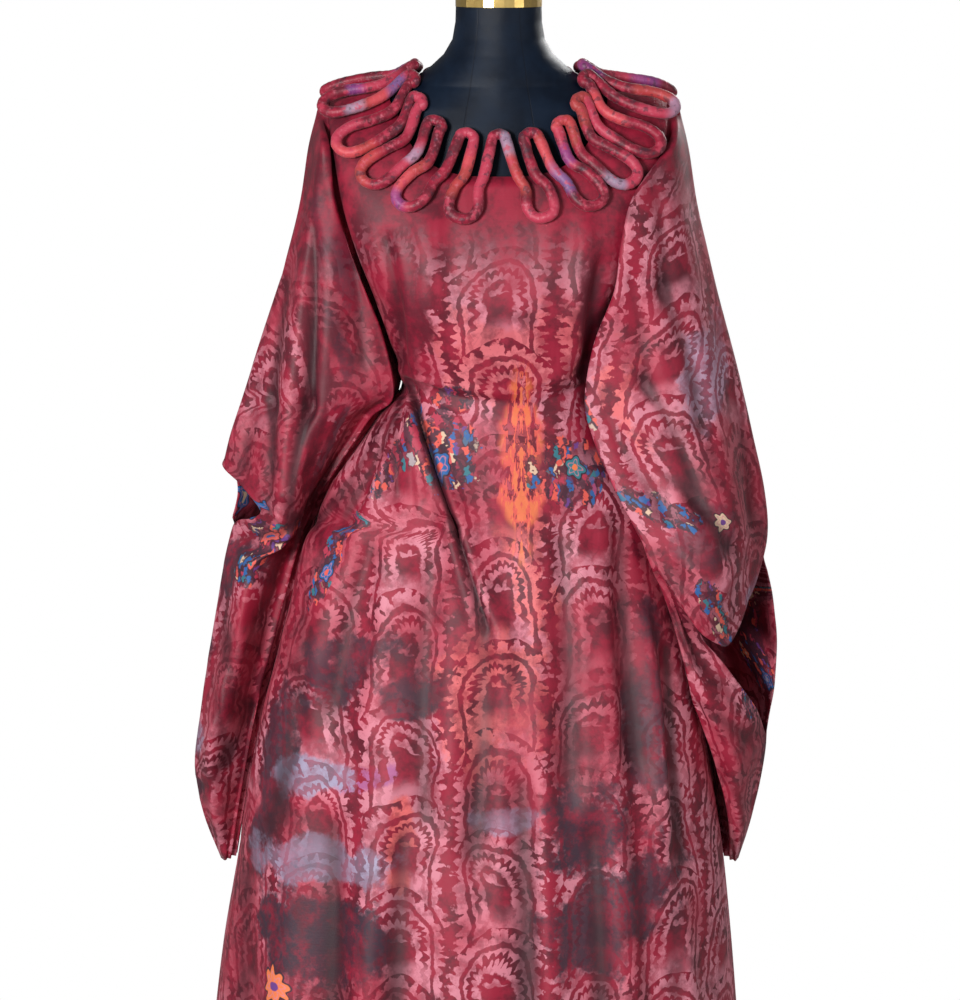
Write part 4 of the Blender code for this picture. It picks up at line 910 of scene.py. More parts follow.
def add_piece(name, points, faces, pattern, material, nodes, measures=None):
    """A smooth mesh with (u, v) pattern places and, if given, named measures of each point."""
    mesh = bpy.data.meshes.new(name)
    mesh.from_pydata([tuple(p) for p in points], [], [tuple(f) for f in faces])
    layer = mesh.uv_layers.new(name="UVMap")
    corner = np.zeros(len(mesh.loops), np.int64)
    mesh.loops.foreach_get("vertex_index", corner)
    layer.data.foreach_set("uv", np.asarray(pattern, np.float32)[corner].reshape(-1))
    for measure, values in (measures or {}).items():
        attribute = mesh.attributes.new(measure, "FLOAT", "POINT")
        attribute.data.foreach_set("value", np.asarray(values, np.float32))
    mesh.materials.append(material)
    mesh.shade_smooth()
    piece = bpy.data.objects.new(name, mesh)
    bpy.context.scene.collection.objects.link(piece)
    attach(piece, "root")
    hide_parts(*nodes)
    return piece


def shell(piece):
    """Gives a sheet its cloth's thickness, half of it on each side."""
    solid = piece.modifiers.new("thickness", "SOLIDIFY")
    solid.thickness = SHELL_THICKNESS
    solid.offset = 0.0
    return piece


def body_piece(node, back, grid, material):
    """The front or back panel as a fine shell."""
    rows, columns = grid.shape[:2]
    across = level_lengths(grid)
    across -= across[:, [columns // 2]]
    pattern = np.stack([across, grid[:, :, 2]], axis=2).reshape(-1, 2)
    hem = grid[:, :, 2] - grid[-1, :, 2]
    faces = grid_faces(rows, columns, flip=back)
    # How deep each point lies in the creases' troughs, which the material turns into painted shade
    hollow = hollow_of(grid, BACK_CREASES if back else FRONT_CREASES)
    measures = {"hem_distance": hem.reshape(-1), "hollow": hollow.reshape(-1)}
    return shell(add_piece(node + "_cloth", grid.reshape(-1, 3), faces, pattern, material, [node],
                           measures))


def finer_sleeve(front_layer, back_layer, slit):
    """Both layers on a fine grid: rounded over the outer fold, and free along the opening."""
    front_rows, back_rows = finer_rows(front_layer, FINER), finer_rows(back_layer, FINER)
    first, last = slit[0] * FINER, slit[1] * FINER
    front_fine, back_fine = [], []
    for r, (front, back) in enumerate(zip(front_rows, back_rows)):
        if first < r < last:
            front_fine.append(finer_rows(front, FINER))
            back_fine.append(finer_rows(back, FINER))
            continue
        both = finer_rows(np.vstack([front, back[1:]]), FINER)
        parting = (len(front) - 1) * FINER
        front_fine.append(both[:parting + 1])
        back_fine.append(both[parting:])
    return np.array(front_fine), np.array(back_fine)


def held_off_layer(layer, body, root_column):
    """The fine layer pushed clear of the fine body panels, less at its sewn edge."""
    for r in range(layer.shape[0]):
        for c in range(layer.shape[1]):
            gap = FINE_SLEEVE_GAP * min(1.0, 0.6 + 0.1 * abs(c - root_column))
            layer[r, c] = held_off(layer[r, c], body, gap)
    return layer


def sleeve_piece(node, side, table, slit, folds, creases, coarse, coarse_body, body, start, material):
    """A sleeve's fine shell: the solid's layers, made finer, creased, and joined as in the solid.

    Start is how far round the body, in metres, the pattern is at the bend.
    """
    front_layer, back_layer = sleeve_halves(side, table, *coarse, coarse_body)
    aside = SLEEVE_FOLD_ASIDE * side
    forward, backward = np.array([aside, -1.0, 0.0]), np.array([aside, 1.0, 0.0])
    back_folds = [fold[1:] for fold in SLEEVE_BACK_FOLDS if fold[0] == side]
    front_layer = folded(front_layer, np.broadcast_to(forward, front_layer.shape), folds)
    back_layer = folded(back_layer, np.broadcast_to(backward, back_layer.shape), back_folds)
    front_layer = held_off_body(front_layer, coarse_body, 0, BEND_COLUMN)
    back_layer = held_off_body(back_layer, coarse_body, SLEEVE_BACK_COLUMNS, SLEEVE_BACK_COLUMNS + 2)
    front_layer, back_layer = finer_sleeve(front_layer, back_layer, slit)
    back_creases = [crease[1:] for crease in SLEEVE_BACK_CREASES if crease[0] == side]
    under = np.arange(front_layer.shape[1]) < BEND_COLUMN * FINER
    over = np.broadcast_to(forward, front_layer.shape) * ~under[None, :, None]
    # How deep each point lies in the creases' troughs, which the material turns into painted shade
    hollow = [hollow_of(front_layer, creases) * ~under[None, :], hollow_of(back_layer, back_creases)]
    hollow = np.concatenate([part.reshape(-1) for part in hollow])
    front_layer = folded(front_layer, over, creases)
    back_layer = folded(back_layer, np.broadcast_to(backward, back_layer.shape), back_creases)
    front_layer = held_off_layer(front_layer, body, 0)
    back_layer = held_off_layer(back_layer, body, back_layer.shape[1] - 1)
    rows, front_count = front_layer.shape[:2]
    back_count = back_layer.shape[1]
    points = np.vstack([front_layer.reshape(-1, 3), back_layer.reshape(-1, 3)])
    lengths = level_lengths(front_layer)
    front_u = side * (lengths - lengths[:, [BEND_COLUMN * FINER]] + start)
    back_u = front_u[:, -1:] + side * level_lengths(back_layer)
    pattern = np.concatenate([np.stack([front_u, front_layer[:, :, 2]], axis=2).reshape(-1, 2),
                              np.stack([back_u, back_layer[:, :, 2]], axis=2).reshape(-1, 2)])
    first, last = slit[0] * FINER, slit[1] * FINER
    hem = np.full((rows, front_count + back_count), FAR_FROM_HEM)
    for r in range(first, last + 1):
        near = 0.0 if first < r < last else HEM_CORNER
        hem[r, :front_count] = near + lengths[r, -1] - lengths[r]
        hem[r, front_count:] = near + level_lengths(back_layer)[r]
    edge = np.concatenate([hem[:, :front_count].reshape(-1), hem[:, front_count:].reshape(-1)])
    faces = grid_faces(rows, front_count, flip=side < 0)
    faces += grid_faces(rows, back_count, flip=side < 0, first=rows * front_count)
    shared = {rows * front_count + r * back_count: r * front_count + front_count - 1
              for r in range(rows) if not first < r < last}
    faces = [tuple(shared.get(i, i) for i in face) for face in faces]
    used = sorted({i for face in faces for i in face})
    place = {old: new for new, old in enumerate(used)}
    faces = [tuple(place[i] for i in face) for face in faces]
    measures = {"hem_distance": edge[used], "hollow": hollow[used]}
    piece = add_piece(node + "_cloth", points[used], faces, pattern[used], material, [node],
                      measures)
    return shell(piece), points[used], faces


def puckered(along, turn):
    """The rouleau's radius as a share of its mean, at metres along it and radians round it."""
    slow = 2 * math.pi * along / SLOW_PITCH + 1.7 * math.sin(along / 0.031)
    fine = 2 * math.pi * along / FINE_PITCH + 2.2 * math.sin(along / 0.019) + turn
    return (0.97 + SLOW_PUCKER * math.sin(slow) + FINE_PUCKER * math.sin(fine)
            + TWIST_PUCKER * math.cos(2 * turn + along / TWIST_LENGTH))


def rouleau(name, path, index, node, material):
    """One length of padded rouleau as a fine tube with needle puckers."""
    count = len(path)
    ring = np.vstack([path[(index[0] - 1) % count], path[index], path[(index[-1] + 1) % count]])
    centres = finer_rows(ring, FINE_PER_POINT)[FINE_PER_POINT:-FINE_PER_POINT]
    runs = np.gradient(centres, axis=0)
    runs /= np.linalg.norm(runs, axis=1, keepdims=True)
    steps = np.linalg.norm(np.diff(centres, axis=0), axis=1)
    along = np.concatenate([[0], np.cumsum(steps)])
    across = np.cross(runs[0], (0.0, 0.0, 1.0))
    points, pattern, faces = [], [], []
    for centre, run, place in zip(centres, runs, along):
        across = across - run * across.dot(run)
        across /= np.linalg.norm(across)
        other = np.cross(run, across)
        end = min(1.0, END_SHARE + (min(place, along[-1] - place) / END_TAPER))
        for k in range(FINE_SIDES):
            turn = 2 * math.pi * k / FINE_SIDES
            radius = PADDED_RADIUS * puckered(place, turn) * end
            points.append(centre + radius * (across * math.cos(turn) + other * math.sin(turn)))
            pattern.append((place, k / FINE_SIDES))
    for i in range(len(centres) - 1):
        for k in range(FINE_SIDES):
            j = (k + 1) % FINE_SIDES
            faces.append((i * FINE_SIDES + k, i * FINE_SIDES + j,
                          (i + 1) * FINE_SIDES + j, (i + 1) * FINE_SIDES + k))
    faces.append(tuple(range(FINE_SIDES))[::-1])
    faces.append(tuple(range(len(points) - FINE_SIDES, len(points))))
    piece = add_piece(name, points, faces, pattern, material, [node])


def collar(coarse, cloth, material):
    """The rouleau in its two lengths, which meet at the arches over the shoulders."""
    path = settled(collar_path(coarse), cloth)
    parting = len(FRONT_LOOPS) * POINTS_PER_LOOP
    count = len(path)
    rouleau("rouleau_front", path, np.arange(0, parting + 1) % count, "collar_front", material)
    rouleau("rouleau_back", path, np.arange(parting, count + 1) % count, "collar_back", material)


def dress_form(material):
    """The torso as a smooth loft, closed at the top by the neck cap and below by a flat base."""
    heights = finer_rows(np.array([[row[0]] for row in FORM_ROWS], float), FINE_FORM_RINGS)[:, 0]
    points, pattern, faces = [], [], []
    sides = FINE_FORM_SIDES
    for height in heights:
        for i in range(sides):
            turn = 2 * math.pi * i / sides
            radius = form_radius(height * MM, turn) - FORM_INSET
            points.append((radius * math.cos(turn), radius * math.sin(turn), height * MM))
            pattern.append((i / sides, height * MM))
    for r in range(len(heights) - 1):
        for i in range(sides):
            j = (i + 1) % sides
            faces.append((r * sides + i, (r + 1) * sides + i, (r + 1) * sides + j, r * sides + j))
    faces.append(tuple(range(sides)))
    faces.append(tuple(reversed(range((len(heights) - 1) * sides, len(heights) * sides))))
    piece = add_piece("form_torso", points, faces, pattern, material, ["dress_form"])
    piece.data.set_sharp_from_angle(angle=FORM_SHARP)


class Field:
    """A number, vector or colour that varies over a surface, as a socket of a material's nodes."""

    def __init__(self, tree, socket):
        self.tree = tree
        self.socket = socket

    def math(self, operation, *others):
        node = self.tree.nodes.new("ShaderNodeMath")
        node.operation = operation
        for slot, value in zip(node.inputs, (self, *others)):
            give(self.tree, slot, value)
        return Field(self.tree, node.outputs[0])

    def __add__(self, other):
        return self.math("ADD", other)

    def __sub__(self, other):
        return self.math("SUBTRACT", other)

    def __mul__(self, other):
        return self.math("MULTIPLY", other)

    def __truediv__(self, other):
        return self.math("DIVIDE", other)

    def ramp(self, low, high, most=1.0):
        """0 at low and most at high, smoothly. Low may be the larger."""
        node = self.tree.nodes.new("ShaderNodeMapRange")
        node.interpolation_type = "SMOOTHSTEP"
        give(self.tree, node.inputs["Value"], self)
        node.inputs["From Min"].default_value = min(low, high)
        node.inputs["From Max"].default_value = max(low, high)
        node.inputs["To Min"].default_value = 0.0 if low < high else most
        node.inputs["To Max"].default_value = most if low < high else 0.0
        return Field(self.tree, node.outputs["Result"])

    def band(self, low, high, soft):
        """1 between low and high, and 0 outside, with soft edges."""
        return self.ramp(low - soft, low + soft) * self.ramp(high + soft, high - soft)


def give(tree, slot, value):
    if isinstance(value, Field):
        tree.links.new(value.socket, slot)
    else:
        slot.default_value = value


def mixed(factor, first, second):
    """The first colour where factor is 0, and the second where it is 1."""
    node = factor.tree.nodes.new("ShaderNodeMix")
    node.data_type = "RGBA"
    give(factor.tree, node.inputs[0], factor)
    give(factor.tree, node.inputs[6], first)
    give(factor.tree, node.inputs[7], second)
    return Field(factor.tree, node.outputs[2])


def dye(name):
    return (*DYES[name], 1.0)


def noise(tree, scale, detail=2.0, vector=None, roughness=0.5):
    node = tree.nodes.new("ShaderNodeTexNoise")
    node.inputs["Scale"].default_value = scale
    node.inputs["Detail"].default_value = detail
    node.inputs["Roughness"].default_value = roughness
    give(tree, node.inputs["Vector"], vector or place_of(tree))
    return Field(tree, node.outputs[0])


def place_of(tree):
    """Metres in the object's own space."""
    node = tree.nodes.get("place") or tree.nodes.new("ShaderNodeTexCoord")
    node.name = "place"
    return Field(tree, node.outputs["Object"])


def noise_at(tree, detail, u, v, w=0.0, roughness=0.5):
    """Noise that changes over about 1 of u, v and w."""
    return noise(tree, 1.0, detail, vector_of(tree, u, v, w), roughness)


def vector_of(tree, u, v, w=0.0):
    node = tree.nodes.new("ShaderNodeCombineXYZ")
    for slot, value in zip(node.inputs, (u, v, w)):
        give(tree, slot, value)
    return Field(tree, node.outputs[0])


def pattern_place(tree):
    """u and v of the cloth, in metres."""
    uv = tree.nodes.new("ShaderNodeUVMap")
    uv.uv_map = "UVMap"
    split = tree.nodes.new("ShaderNodeSeparateXYZ")
    tree.links.new(uv.outputs["UV"], split.inputs[0])
    return Field(tree, split.outputs[0]), Field(tree, split.outputs[1])


def measured(tree, name):
    """One of the measures that a piece's points carry."""
    node = tree.nodes.new("ShaderNodeAttribute")
    node.attribute_name = name
    return Field(tree, node.outputs["Fac"])


def new_material(name):
    made = bpy.data.materials.new(name)
    made.use_nodes = True
    return made, made.node_tree, made.node_tree.nodes["Principled BSDF"]


def finish_surface(tree, shader, colour, roughness, height, strength, distance):
    """Gives a shader its colour, roughness and relief. Distance is the relief's depth in metres."""
    relief = tree.nodes.new("ShaderNodeBump")
    relief.inputs["Strength"].default_value = strength
    relief.inputs["Distance"].default_value = distance
    give(tree, relief.inputs["Height"], height)
    tree.links.new(colour.socket, shader.inputs["Base Color"])
    tree.links.new(roughness.socket, shader.inputs["Roughness"])
    tree.links.new(relief.outputs[0], shader.inputs["Normal"])


# Batik arches in metres: pitch across and down, half width, where the rows lie and how much the
# columns are staggered, and the pitch of the fingers and scallops
ARCH_ACROSS = 0.120
ARCH_DOWN = 0.110
ARCH_HALF = 0.056
ARCH_RAISE = 0.072
ARCH_STAGGER = 0.046
FINGER = 0.0115
SCALLOP = 0.0130

# How far out the parts of an arch lie, as shares of its half width
BORDER_REACH = 0.70
LINE_REACH = 0.69
RING_REACH = 0.43
HEART_REACH = 0.31

# Small floral print, upright spray and crackle: cells a metre, and metres
FLORAL_SCALE = 135.0
SPRAY_CENTRE = (0.026, 0.985)
SPRAY_FROM, SPRAY_TO = 0.880, 1.090
CRACKLE_SCALE = 42.0

# Weave, hem stitches and knit, in metres, and the knit's stitches round the form
WEAVE_PITCH = 0.0009
HEM_EDGE = (0.0116, 0.0108)
STITCH_LINE = (0.0105, 0.0115)
STITCH_PITCH = 0.0016
KNIT_PITCH = 0.0015
KNIT_ROUND = 620


def lobes(along, pitch):
    """0 to 1 along a line, in round lobes with sharp notches between them."""
    return (along * (math.pi / pitch)).math("SINE").math("ABSOLUTE")


def arches(tree, u, v, ground, light, blot):
    """Columns of nested arches: fingered pale border, line, pale band, scalloped ring and flower.

    Blot is a soft unevenness of the wax, about 0, that frays every outline.
    """
    column = (u / ARCH_ACROSS + 0.5).math("FLOOR")
    x = u - column * ARCH_ACROSS
    stagger = (column * 2.1).math("SINE") * ARCH_STAGGER - ARCH_RAISE
    raised = (v + stagger) / ARCH_DOWN
    row = raised.math("FLOOR")
    y = (raised - row) * ARCH_DOWN
    top = (x * x + y * y * 0.80).math("SQRT") / ARCH_HALF
    inside = top.math("LESS_THAN", 1.02)
    outside = inside * -1.0 + 1.0
    leg = x.math("ABSOLUTE") / ARCH_HALF
    reach = top * inside + leg * outside
    down = (y * -1.0 + ARCH_DOWN) * outside - y * inside
    turn = y.math("ARCTAN2", x) * (ARCH_HALF * 0.85)
    along = turn * inside + v * outside
    length = noise_at(tree, 0.0, along * 70.0, column * 3.1, row * 1.7)
    border = reach - lobes(along, FINGER) * 0.15 - length * 0.30 + blot * 0.30
    border = border.ramp(BORDER_REACH, BORDER_REACH - 0.04)
    line = (reach + blot * 0.09 - LINE_REACH).math("ABSOLUTE").ramp(0.062, 0.044)
    ring = (reach - lobes(along, SCALLOP) * 0.095 + blot * 0.12 - RING_REACH).math("ABSOLUTE")
    ring = ring.ramp(0.070, 0.052)
    lower = down.ramp(0.042, 0.022)
    middle = (reach + blot * 0.16).ramp(HEART_REACH, HEART_REACH - 0.04) * (lower * 0.8 + 0.2)
    colour = mixed(border, ground, light)
    colour = mixed((line * 0.95).math("MAXIMUM", ring * (lower * 0.7 + 0.3)), colour, ground)
    colour = mixed(middle, colour, ground)
    heart_y = y + 0.001
    petals = (heart_y.math("ARCTAN2", x) * 5.0).math("COSINE")
    radius = (x * x + heart_y * heart_y).math("SQRT")
    flower = (radius - petals * 0.0030 + blot * 0.007).ramp(0.0105, 0.0085)
    return mixed(flower * radius.ramp(0.0016, 0.0030) * 0.85, colour, light)


def flowers(tree, u, v, colour, table):
    """Lobed flowers with a heart and a thin dark outline, drawn one by one."""
    for flower in named_rows(table, FLOWER_COLUMNS):
        x, y = u - flower["u"] * MM, v - flower["v"] * MM
        radius = (x * x + y * y).math("SQRT") / (flower["radius"] * MM)
        turn = y.math("ARCTAN2", x) + math.radians(flower["turn"])
        reach = radius - (turn * float(flower["petals"])).math("COSINE") * 0.16
        colour = mixed(reach.ramp(1.02, 0.94), colour, dye("smoke"))
        colour = mixed(reach.ramp(0.90, 0.80), colour, dye(flower["dye"]))
        colour = mixed(reach.band(0.50, 0.62, 0.05) * 0.7, colour, dye("pale"))
        colour = mixed(radius.ramp(0.34, 0.26), colour, dye(flower["heart"]))
    return colour


def spread(place, row, wobble):
    """How far a place of the cloth is inside a soft ellipse of one of the tables of stretches."""
    tint = dict(zip(TINT_COLUMNS, row))
    tree = place.tree
    fit = tree.nodes.new("ShaderNodeMapping")
    fit.vector_type = "TEXTURE"
    fit.inputs["Location"].default_value = (tint["u"] * MM, tint["v"] * MM, 0.0)
    fit.inputs["Rotation"].default_value = (0.0, 0.0, math.radians(tint["tilt"]))
    fit.inputs["Scale"].default_value = (tint["wide"] * MM, tint["high"] * MM, 1.0)
    give(tree, fit.inputs["Vector"], place)
    reach = tree.nodes.new("ShaderNodeVectorMath")
    reach.operation = "LENGTH"
    tree.links.new(fit.outputs[0], reach.inputs[0])
    return (Field(tree, reach.outputs["Value"]) + wobble).ramp(1.20, 0.74, tint["much"])


def stretches(place, table, wobble):
    """How much of each dye of a table, or of its print, there is at a place. Some deep and smoke
    stretches stand for painted shade.
    """
    shares = {}
    for row in table:
        share = spread(place, row, wobble)
        shares[row[0]] = shares[row[0]].math("MAXIMUM", share) if row[0] in shares else share
    return shares


def small_floral(tree, u, v, colour, share):
    """A dense print of small ragged petals in many dyes on a smoky ground, where share is 1."""
    petals = tree.nodes.new("ShaderNodeTexVoronoi")
    petals.inputs["Scale"].default_value = FLORAL_SCALE
    frayed = (noise(tree, 170.0, 1.0) - 0.5) * 0.012
    give(tree, petals.inputs["Vector"], vector_of(tree, u + frayed, v * 0.62 - frayed))
    split = tree.nodes.new("ShaderNodeSeparateColor")
    tree.links.new(petals.outputs["Color"], split.inputs[0])
    pick, keep = Field(tree, split.outputs[0]), Field(tree, split.outputs[1])
    print_dye = dye("cream")
    for low, name in ((0.08, "blue"), (0.30, "teal"), (0.44, "violet"), (0.54, "salmon"),
                      (0.78, "rose")):
        print_dye = mixed(pick.ramp(low, low + 0.04), print_dye, dye(name))
    drop = Field(tree, petals.outputs["Distance"]).ramp(0.56, 0.40) * keep.ramp(0.22, 0.28)
    base = mixed(keep.ramp(0.3, 0.5) * 0.4 + 0.45, colour, dye("smoke"))
    printed = mixed(drop * 0.9, base, print_dye)
    return mixed((share + (keep - 0.5) * 0.7).ramp(0.42, 0.58), colour, printed)


def flame(tree, u, v, colour):
    """An upright spray of salmon and orange tongues, the same on both sides of its stem."""
    x = (u - SPRAY_CENTRE[0]).math("ABSOLUTE")
    tongue = noise_at(tree, 3.0, x * 105.0, (v + x * 0.9) * 30.0, roughness=0.6)
    taper = (v - SPRAY_CENTRE[1]).math("ABSOLUTE") * -0.16 + 0.026
    reach = (noise_at(tree, 1.0, 0.0, v * 26.0) - 0.5) * 0.050 + taper
    within = (v + (tongue - 0.5) * 0.08).band(SPRAY_FROM, SPRAY_TO, 0.02)
    within = (x - reach).ramp(0.006, -0.006) * within
    drawn = mixed((tongue - x * 4.0).ramp(0.46, 0.50), dye("salmon"), dye("orange"))
    drawn = mixed(tongue.band(0.43, 0.455, 0.006), drawn, dye("deep"))
    return mixed(tongue.ramp(0.42, 0.45) * within * 0.8, colour, drawn)


def cloth_material(name, tints, florals, blooms, arch_from, arch_to, arch_much=1.0, spray=False):
    """Dyed cotton: mottled crimson ground, batik arches, tints, floral print, crackle and weave, with
    painted shade in the creases and in some deep and smoke stretches.

    The arches show in full below the height arch_to, as much as arch_much, and not above arch_from.
    """
    made, tree, shader = new_material(name)
    u, v = pattern_place(tree)
    drift = noise(tree, 8.0, 2.0)
    drift_v = noise(tree, 9.0, 2.0, vector_of(tree, v, u))
    u_drawn = u + (drift - 0.5) * 0.066 + (noise(tree, 90.0, 1.0) - 0.5) * 0.0050
    v_drawn = v + (drift_v - 0.5) * 0.060 + (noise(tree, 75.0, 1.0) - 0.5) * 0.0050
    blot = (noise(tree, 120.0, 2.0, roughness=0.6) - 0.5) * 1.5
    mottle = noise(tree, 24.0, 4.0, roughness=0.7)
    ground = mixed(mottle.ramp(0.36, 0.62), dye("deep"), dye("crimson"))
    streak = noise_at(tree, 2.0, u * 60.0, v * 7.0)
    ground = mixed(streak.ramp(0.52, 0.80) * mottle.ramp(0.35, 0.6) * 0.35, ground, dye("rose"))
    shade = noise(tree, 7.0, 1.0)
    light = mixed(shade.ramp(0.40, 0.60), dye("pale"), dye("pink"))
    fractal = (noise(tree, 11.0, 6.0, roughness=0.66) - 0.5) * 1.9
    place = vector_of(tree, u, v)
    shares = stretches(place, tints, fractal * 2.2)
    for tint, share in shares.items():
        light = mixed(share, light, dye(tint))
    worn = noise(tree, 36.0, 4.0, roughness=0.72).ramp(0.38, 0.58)
    washed = shade.ramp(0.62, 0.42)
    light = mixed((worn * 0.62 + 0.38) * (washed * 0.62 + 0.38), ground, light)
    drawn = arches(tree, u_drawn, v_drawn, ground, light, blot)
    shows = (v + (mottle - 0.5) * 0.10).ramp(arch_from, arch_to) * arch_much
    colour = mixed(shows, ground, drawn)
    blotch = worn * 0.62 + 0.30
    # Smoke and deep stretches darken over the arches: most are dyed patches, and some, marked in the
    # tint tables, are painted shade
    for tint, much in (("smoke", blotch), ("deep", blotch), ("lilac", 0.34)):
        if tint in shares:
            colour = mixed(shares[tint] * much, colour, dye(tint))
    if spray:
        colour = flame(tree, u, v, colour)
    floral = stretches(place, florals, fractal * 1.4)["floral"]
    colour = small_floral(tree, u_drawn, v_drawn, colour, floral)
    colour = flowers(tree, u_drawn, v_drawn, colour, blooms)
    crackle = tree.nodes.new("ShaderNodeTexVoronoi")
    crackle.feature = "DISTANCE_TO_EDGE"
    crackle.inputs["Scale"].default_value = CRACKLE_SCALE
    give(tree, crackle.inputs["Vector"], vector_of(tree, u + (drift - 0.5) * 0.05, v_drawn))
    veins = Field(tree, crackle.outputs["Distance"]).ramp(0.028, 0.006)
    colour = mixed(veins * noise(tree, 8.0, 1.0).ramp(0.5, 0.7) * 0.35, colour, dye("deep"))
    hem, hollow = measured(tree, "hem_distance"), measured(tree, "hollow")
    # Painted shade: the cloth is darkened in the creases' troughs, more where they are deeper
    colour = mixed(hollow.ramp(0.0015, 0.0105) * 0.80, colour, dye("painted_crease_shade"))
    stitch = hem.band(*STITCH_LINE, 0.0003)
    stitch = stitch * v.math("PINGPONG", STITCH_PITCH).ramp(0.0003, 0.0006)
    colour = mixed(stitch * 0.7, colour, dye("deep"))
    warp, weft = ((along * (2 * math.pi / WEAVE_PITCH)).math("SINE") for along in (u, v))
    slub = noise_at(tree, 1.0, u * 40.0, v * 900.0)
    height = warp * 0.12 + weft * 0.12 + slub * 0.5 + noise(tree, 300.0, 1.0) * 0.5
    height = height + hem.ramp(*HEM_EDGE) * 1.2 - stitch * 0.8
    finish_surface(tree, shader, colour, mottle * 0.16 + 0.48, height, 0.35, 0.0006)
    shader.inputs["Sheen Weight"].default_value = 0.04
    shader.inputs["Sheen Roughness"].default_value = 0.4
    shader.inputs["Sheen Tint"].default_value = (1.0, 0.75, 0.78, 1.0)
    return made


def rouleau_material():
    """The cloth's cuttings round a cord: crimson, salmon, lilac and violet stretches along it."""
    made, tree, shader = new_material("rouleau_cloth")
    along, round_it = pattern_place(tree)
    colour = mixed(noise(tree, 60.0, 4.0).ramp(0.35, 0.65), dye("deep"), dye("crimson"))
    for name, pitch, shift, much in (("rose", 0.17, 0.03, 0.9), ("salmon", 0.23, 0.15, 0.35),
                                     ("lilac", 0.57, 0.11, 0.6), ("violet", 0.83, 0.33, 0.6),
                                     ("blue", 1.37, 0.45, 0.6)):
        place = (along + shift + (noise(tree, 14.0, 2.0) - 0.5) * 0.05).math("PINGPONG", pitch / 2)
        stretch = pitch / 2 - (0.030 if name in ("rose", "salmon") else 0.014)
        colour = mixed(place.ramp(stretch - 0.006, stretch + 0.008) * much, colour, dye(name))
    dabs = noise(tree, 95.0, 3.0)
    colour = mixed(dabs.ramp(0.56, 0.66) * 0.7, colour, dye("rose"))
    colour = mixed(dabs.ramp(0.42, 0.34) * 0.6, colour, dye("smoke"))
    colour = mixed(noise(tree, 240.0, 3.0).ramp(0.55, 0.75) * 0.35, colour, dye("pale"))
    pucker = noise_at(tree, 3.0, along * 320.0, round_it * 5.0)
    height = pucker + noise(tree, 400.0, 2.0) * 0.3
    roughness = noise(tree, 80.0, 2.0) * 0.2 + 0.42
    finish_surface(tree, shader, colour, roughness, height, 0.6, 0.0010)
    shader.inputs["Sheen Weight"].default_value = 0.08
    return made


def form_material():
    """Navy-black jersey stretched over the torso, with a faint knit and upright panel seams."""
    made, tree, shader = new_material("form_jersey")
    turn, height = pattern_place(tree)
    colour = mixed(noise(tree, 30.0, 4.0).ramp(0.3, 0.7), (0.0025, 0.0060, 0.0145, 1),
                   (0.0050, 0.0120, 0.0270, 1))
    seam = (turn * 6.0).math("PINGPONG", 0.5).ramp(0.012, 0.004)
    colour = mixed(seam * 0.6, colour, (0.004, 0.005, 0.009, 1))
    knit = (turn * (2 * math.pi * KNIT_ROUND)).math("SINE")
    knit = knit * (height * (2 * math.pi / KNIT_PITCH)).math("SINE")
    relief = knit * 0.3 + noise(tree, 500.0, 2.0) * 0.6 - seam * 2.0
    roughness = noise(tree, 60.0, 2.0) * 0.12 + 0.36
    finish_surface(tree, shader, colour, roughness, relief, 0.25, 0.0004)
    shader.inputs["Specular IOR Level"].default_value = 0.16
    return made


def metal_material(name, light_colour, dark_colour, roughness, metallic):
    """Brushed or painted metal with faint wear."""
    made, tree, shader = new_material(name)
    wear = noise(tree, 40.0, 4.0)
    colour = mixed(wear.ramp(0.35, 0.7), (*dark_colour, 1), (*light_colour, 1))
    uneven = noise(tree, 90.0, 3.0) * 0.15 + roughness
    finish_surface(tree, shader, colour, uneven, noise(tree, 700.0, 2.0), 0.15, 0.0003)
    shader.inputs["Metallic"].default_value = metallic
    return made


def dress(node, material):
    """A node that keeps its CAD shape gets its finish."""
    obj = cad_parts[node]
    for slot in obj.material_slots:
        slot.material = material


def add_light(name, place, target, size, power):
    """A square white lamp that faces its target."""
    data = bpy.data.lights.new(name, "AREA")
    data.size = size
    data.energy = power
    lamp = bpy.data.objects.new(name, data)
    lamp.location = place
    lamp.rotation_euler = (Vector(target) - Vector(place)).to_track_quat("-Z", "Y").to_euler()
    bpy.context.scene.collection.objects.link(lamp)


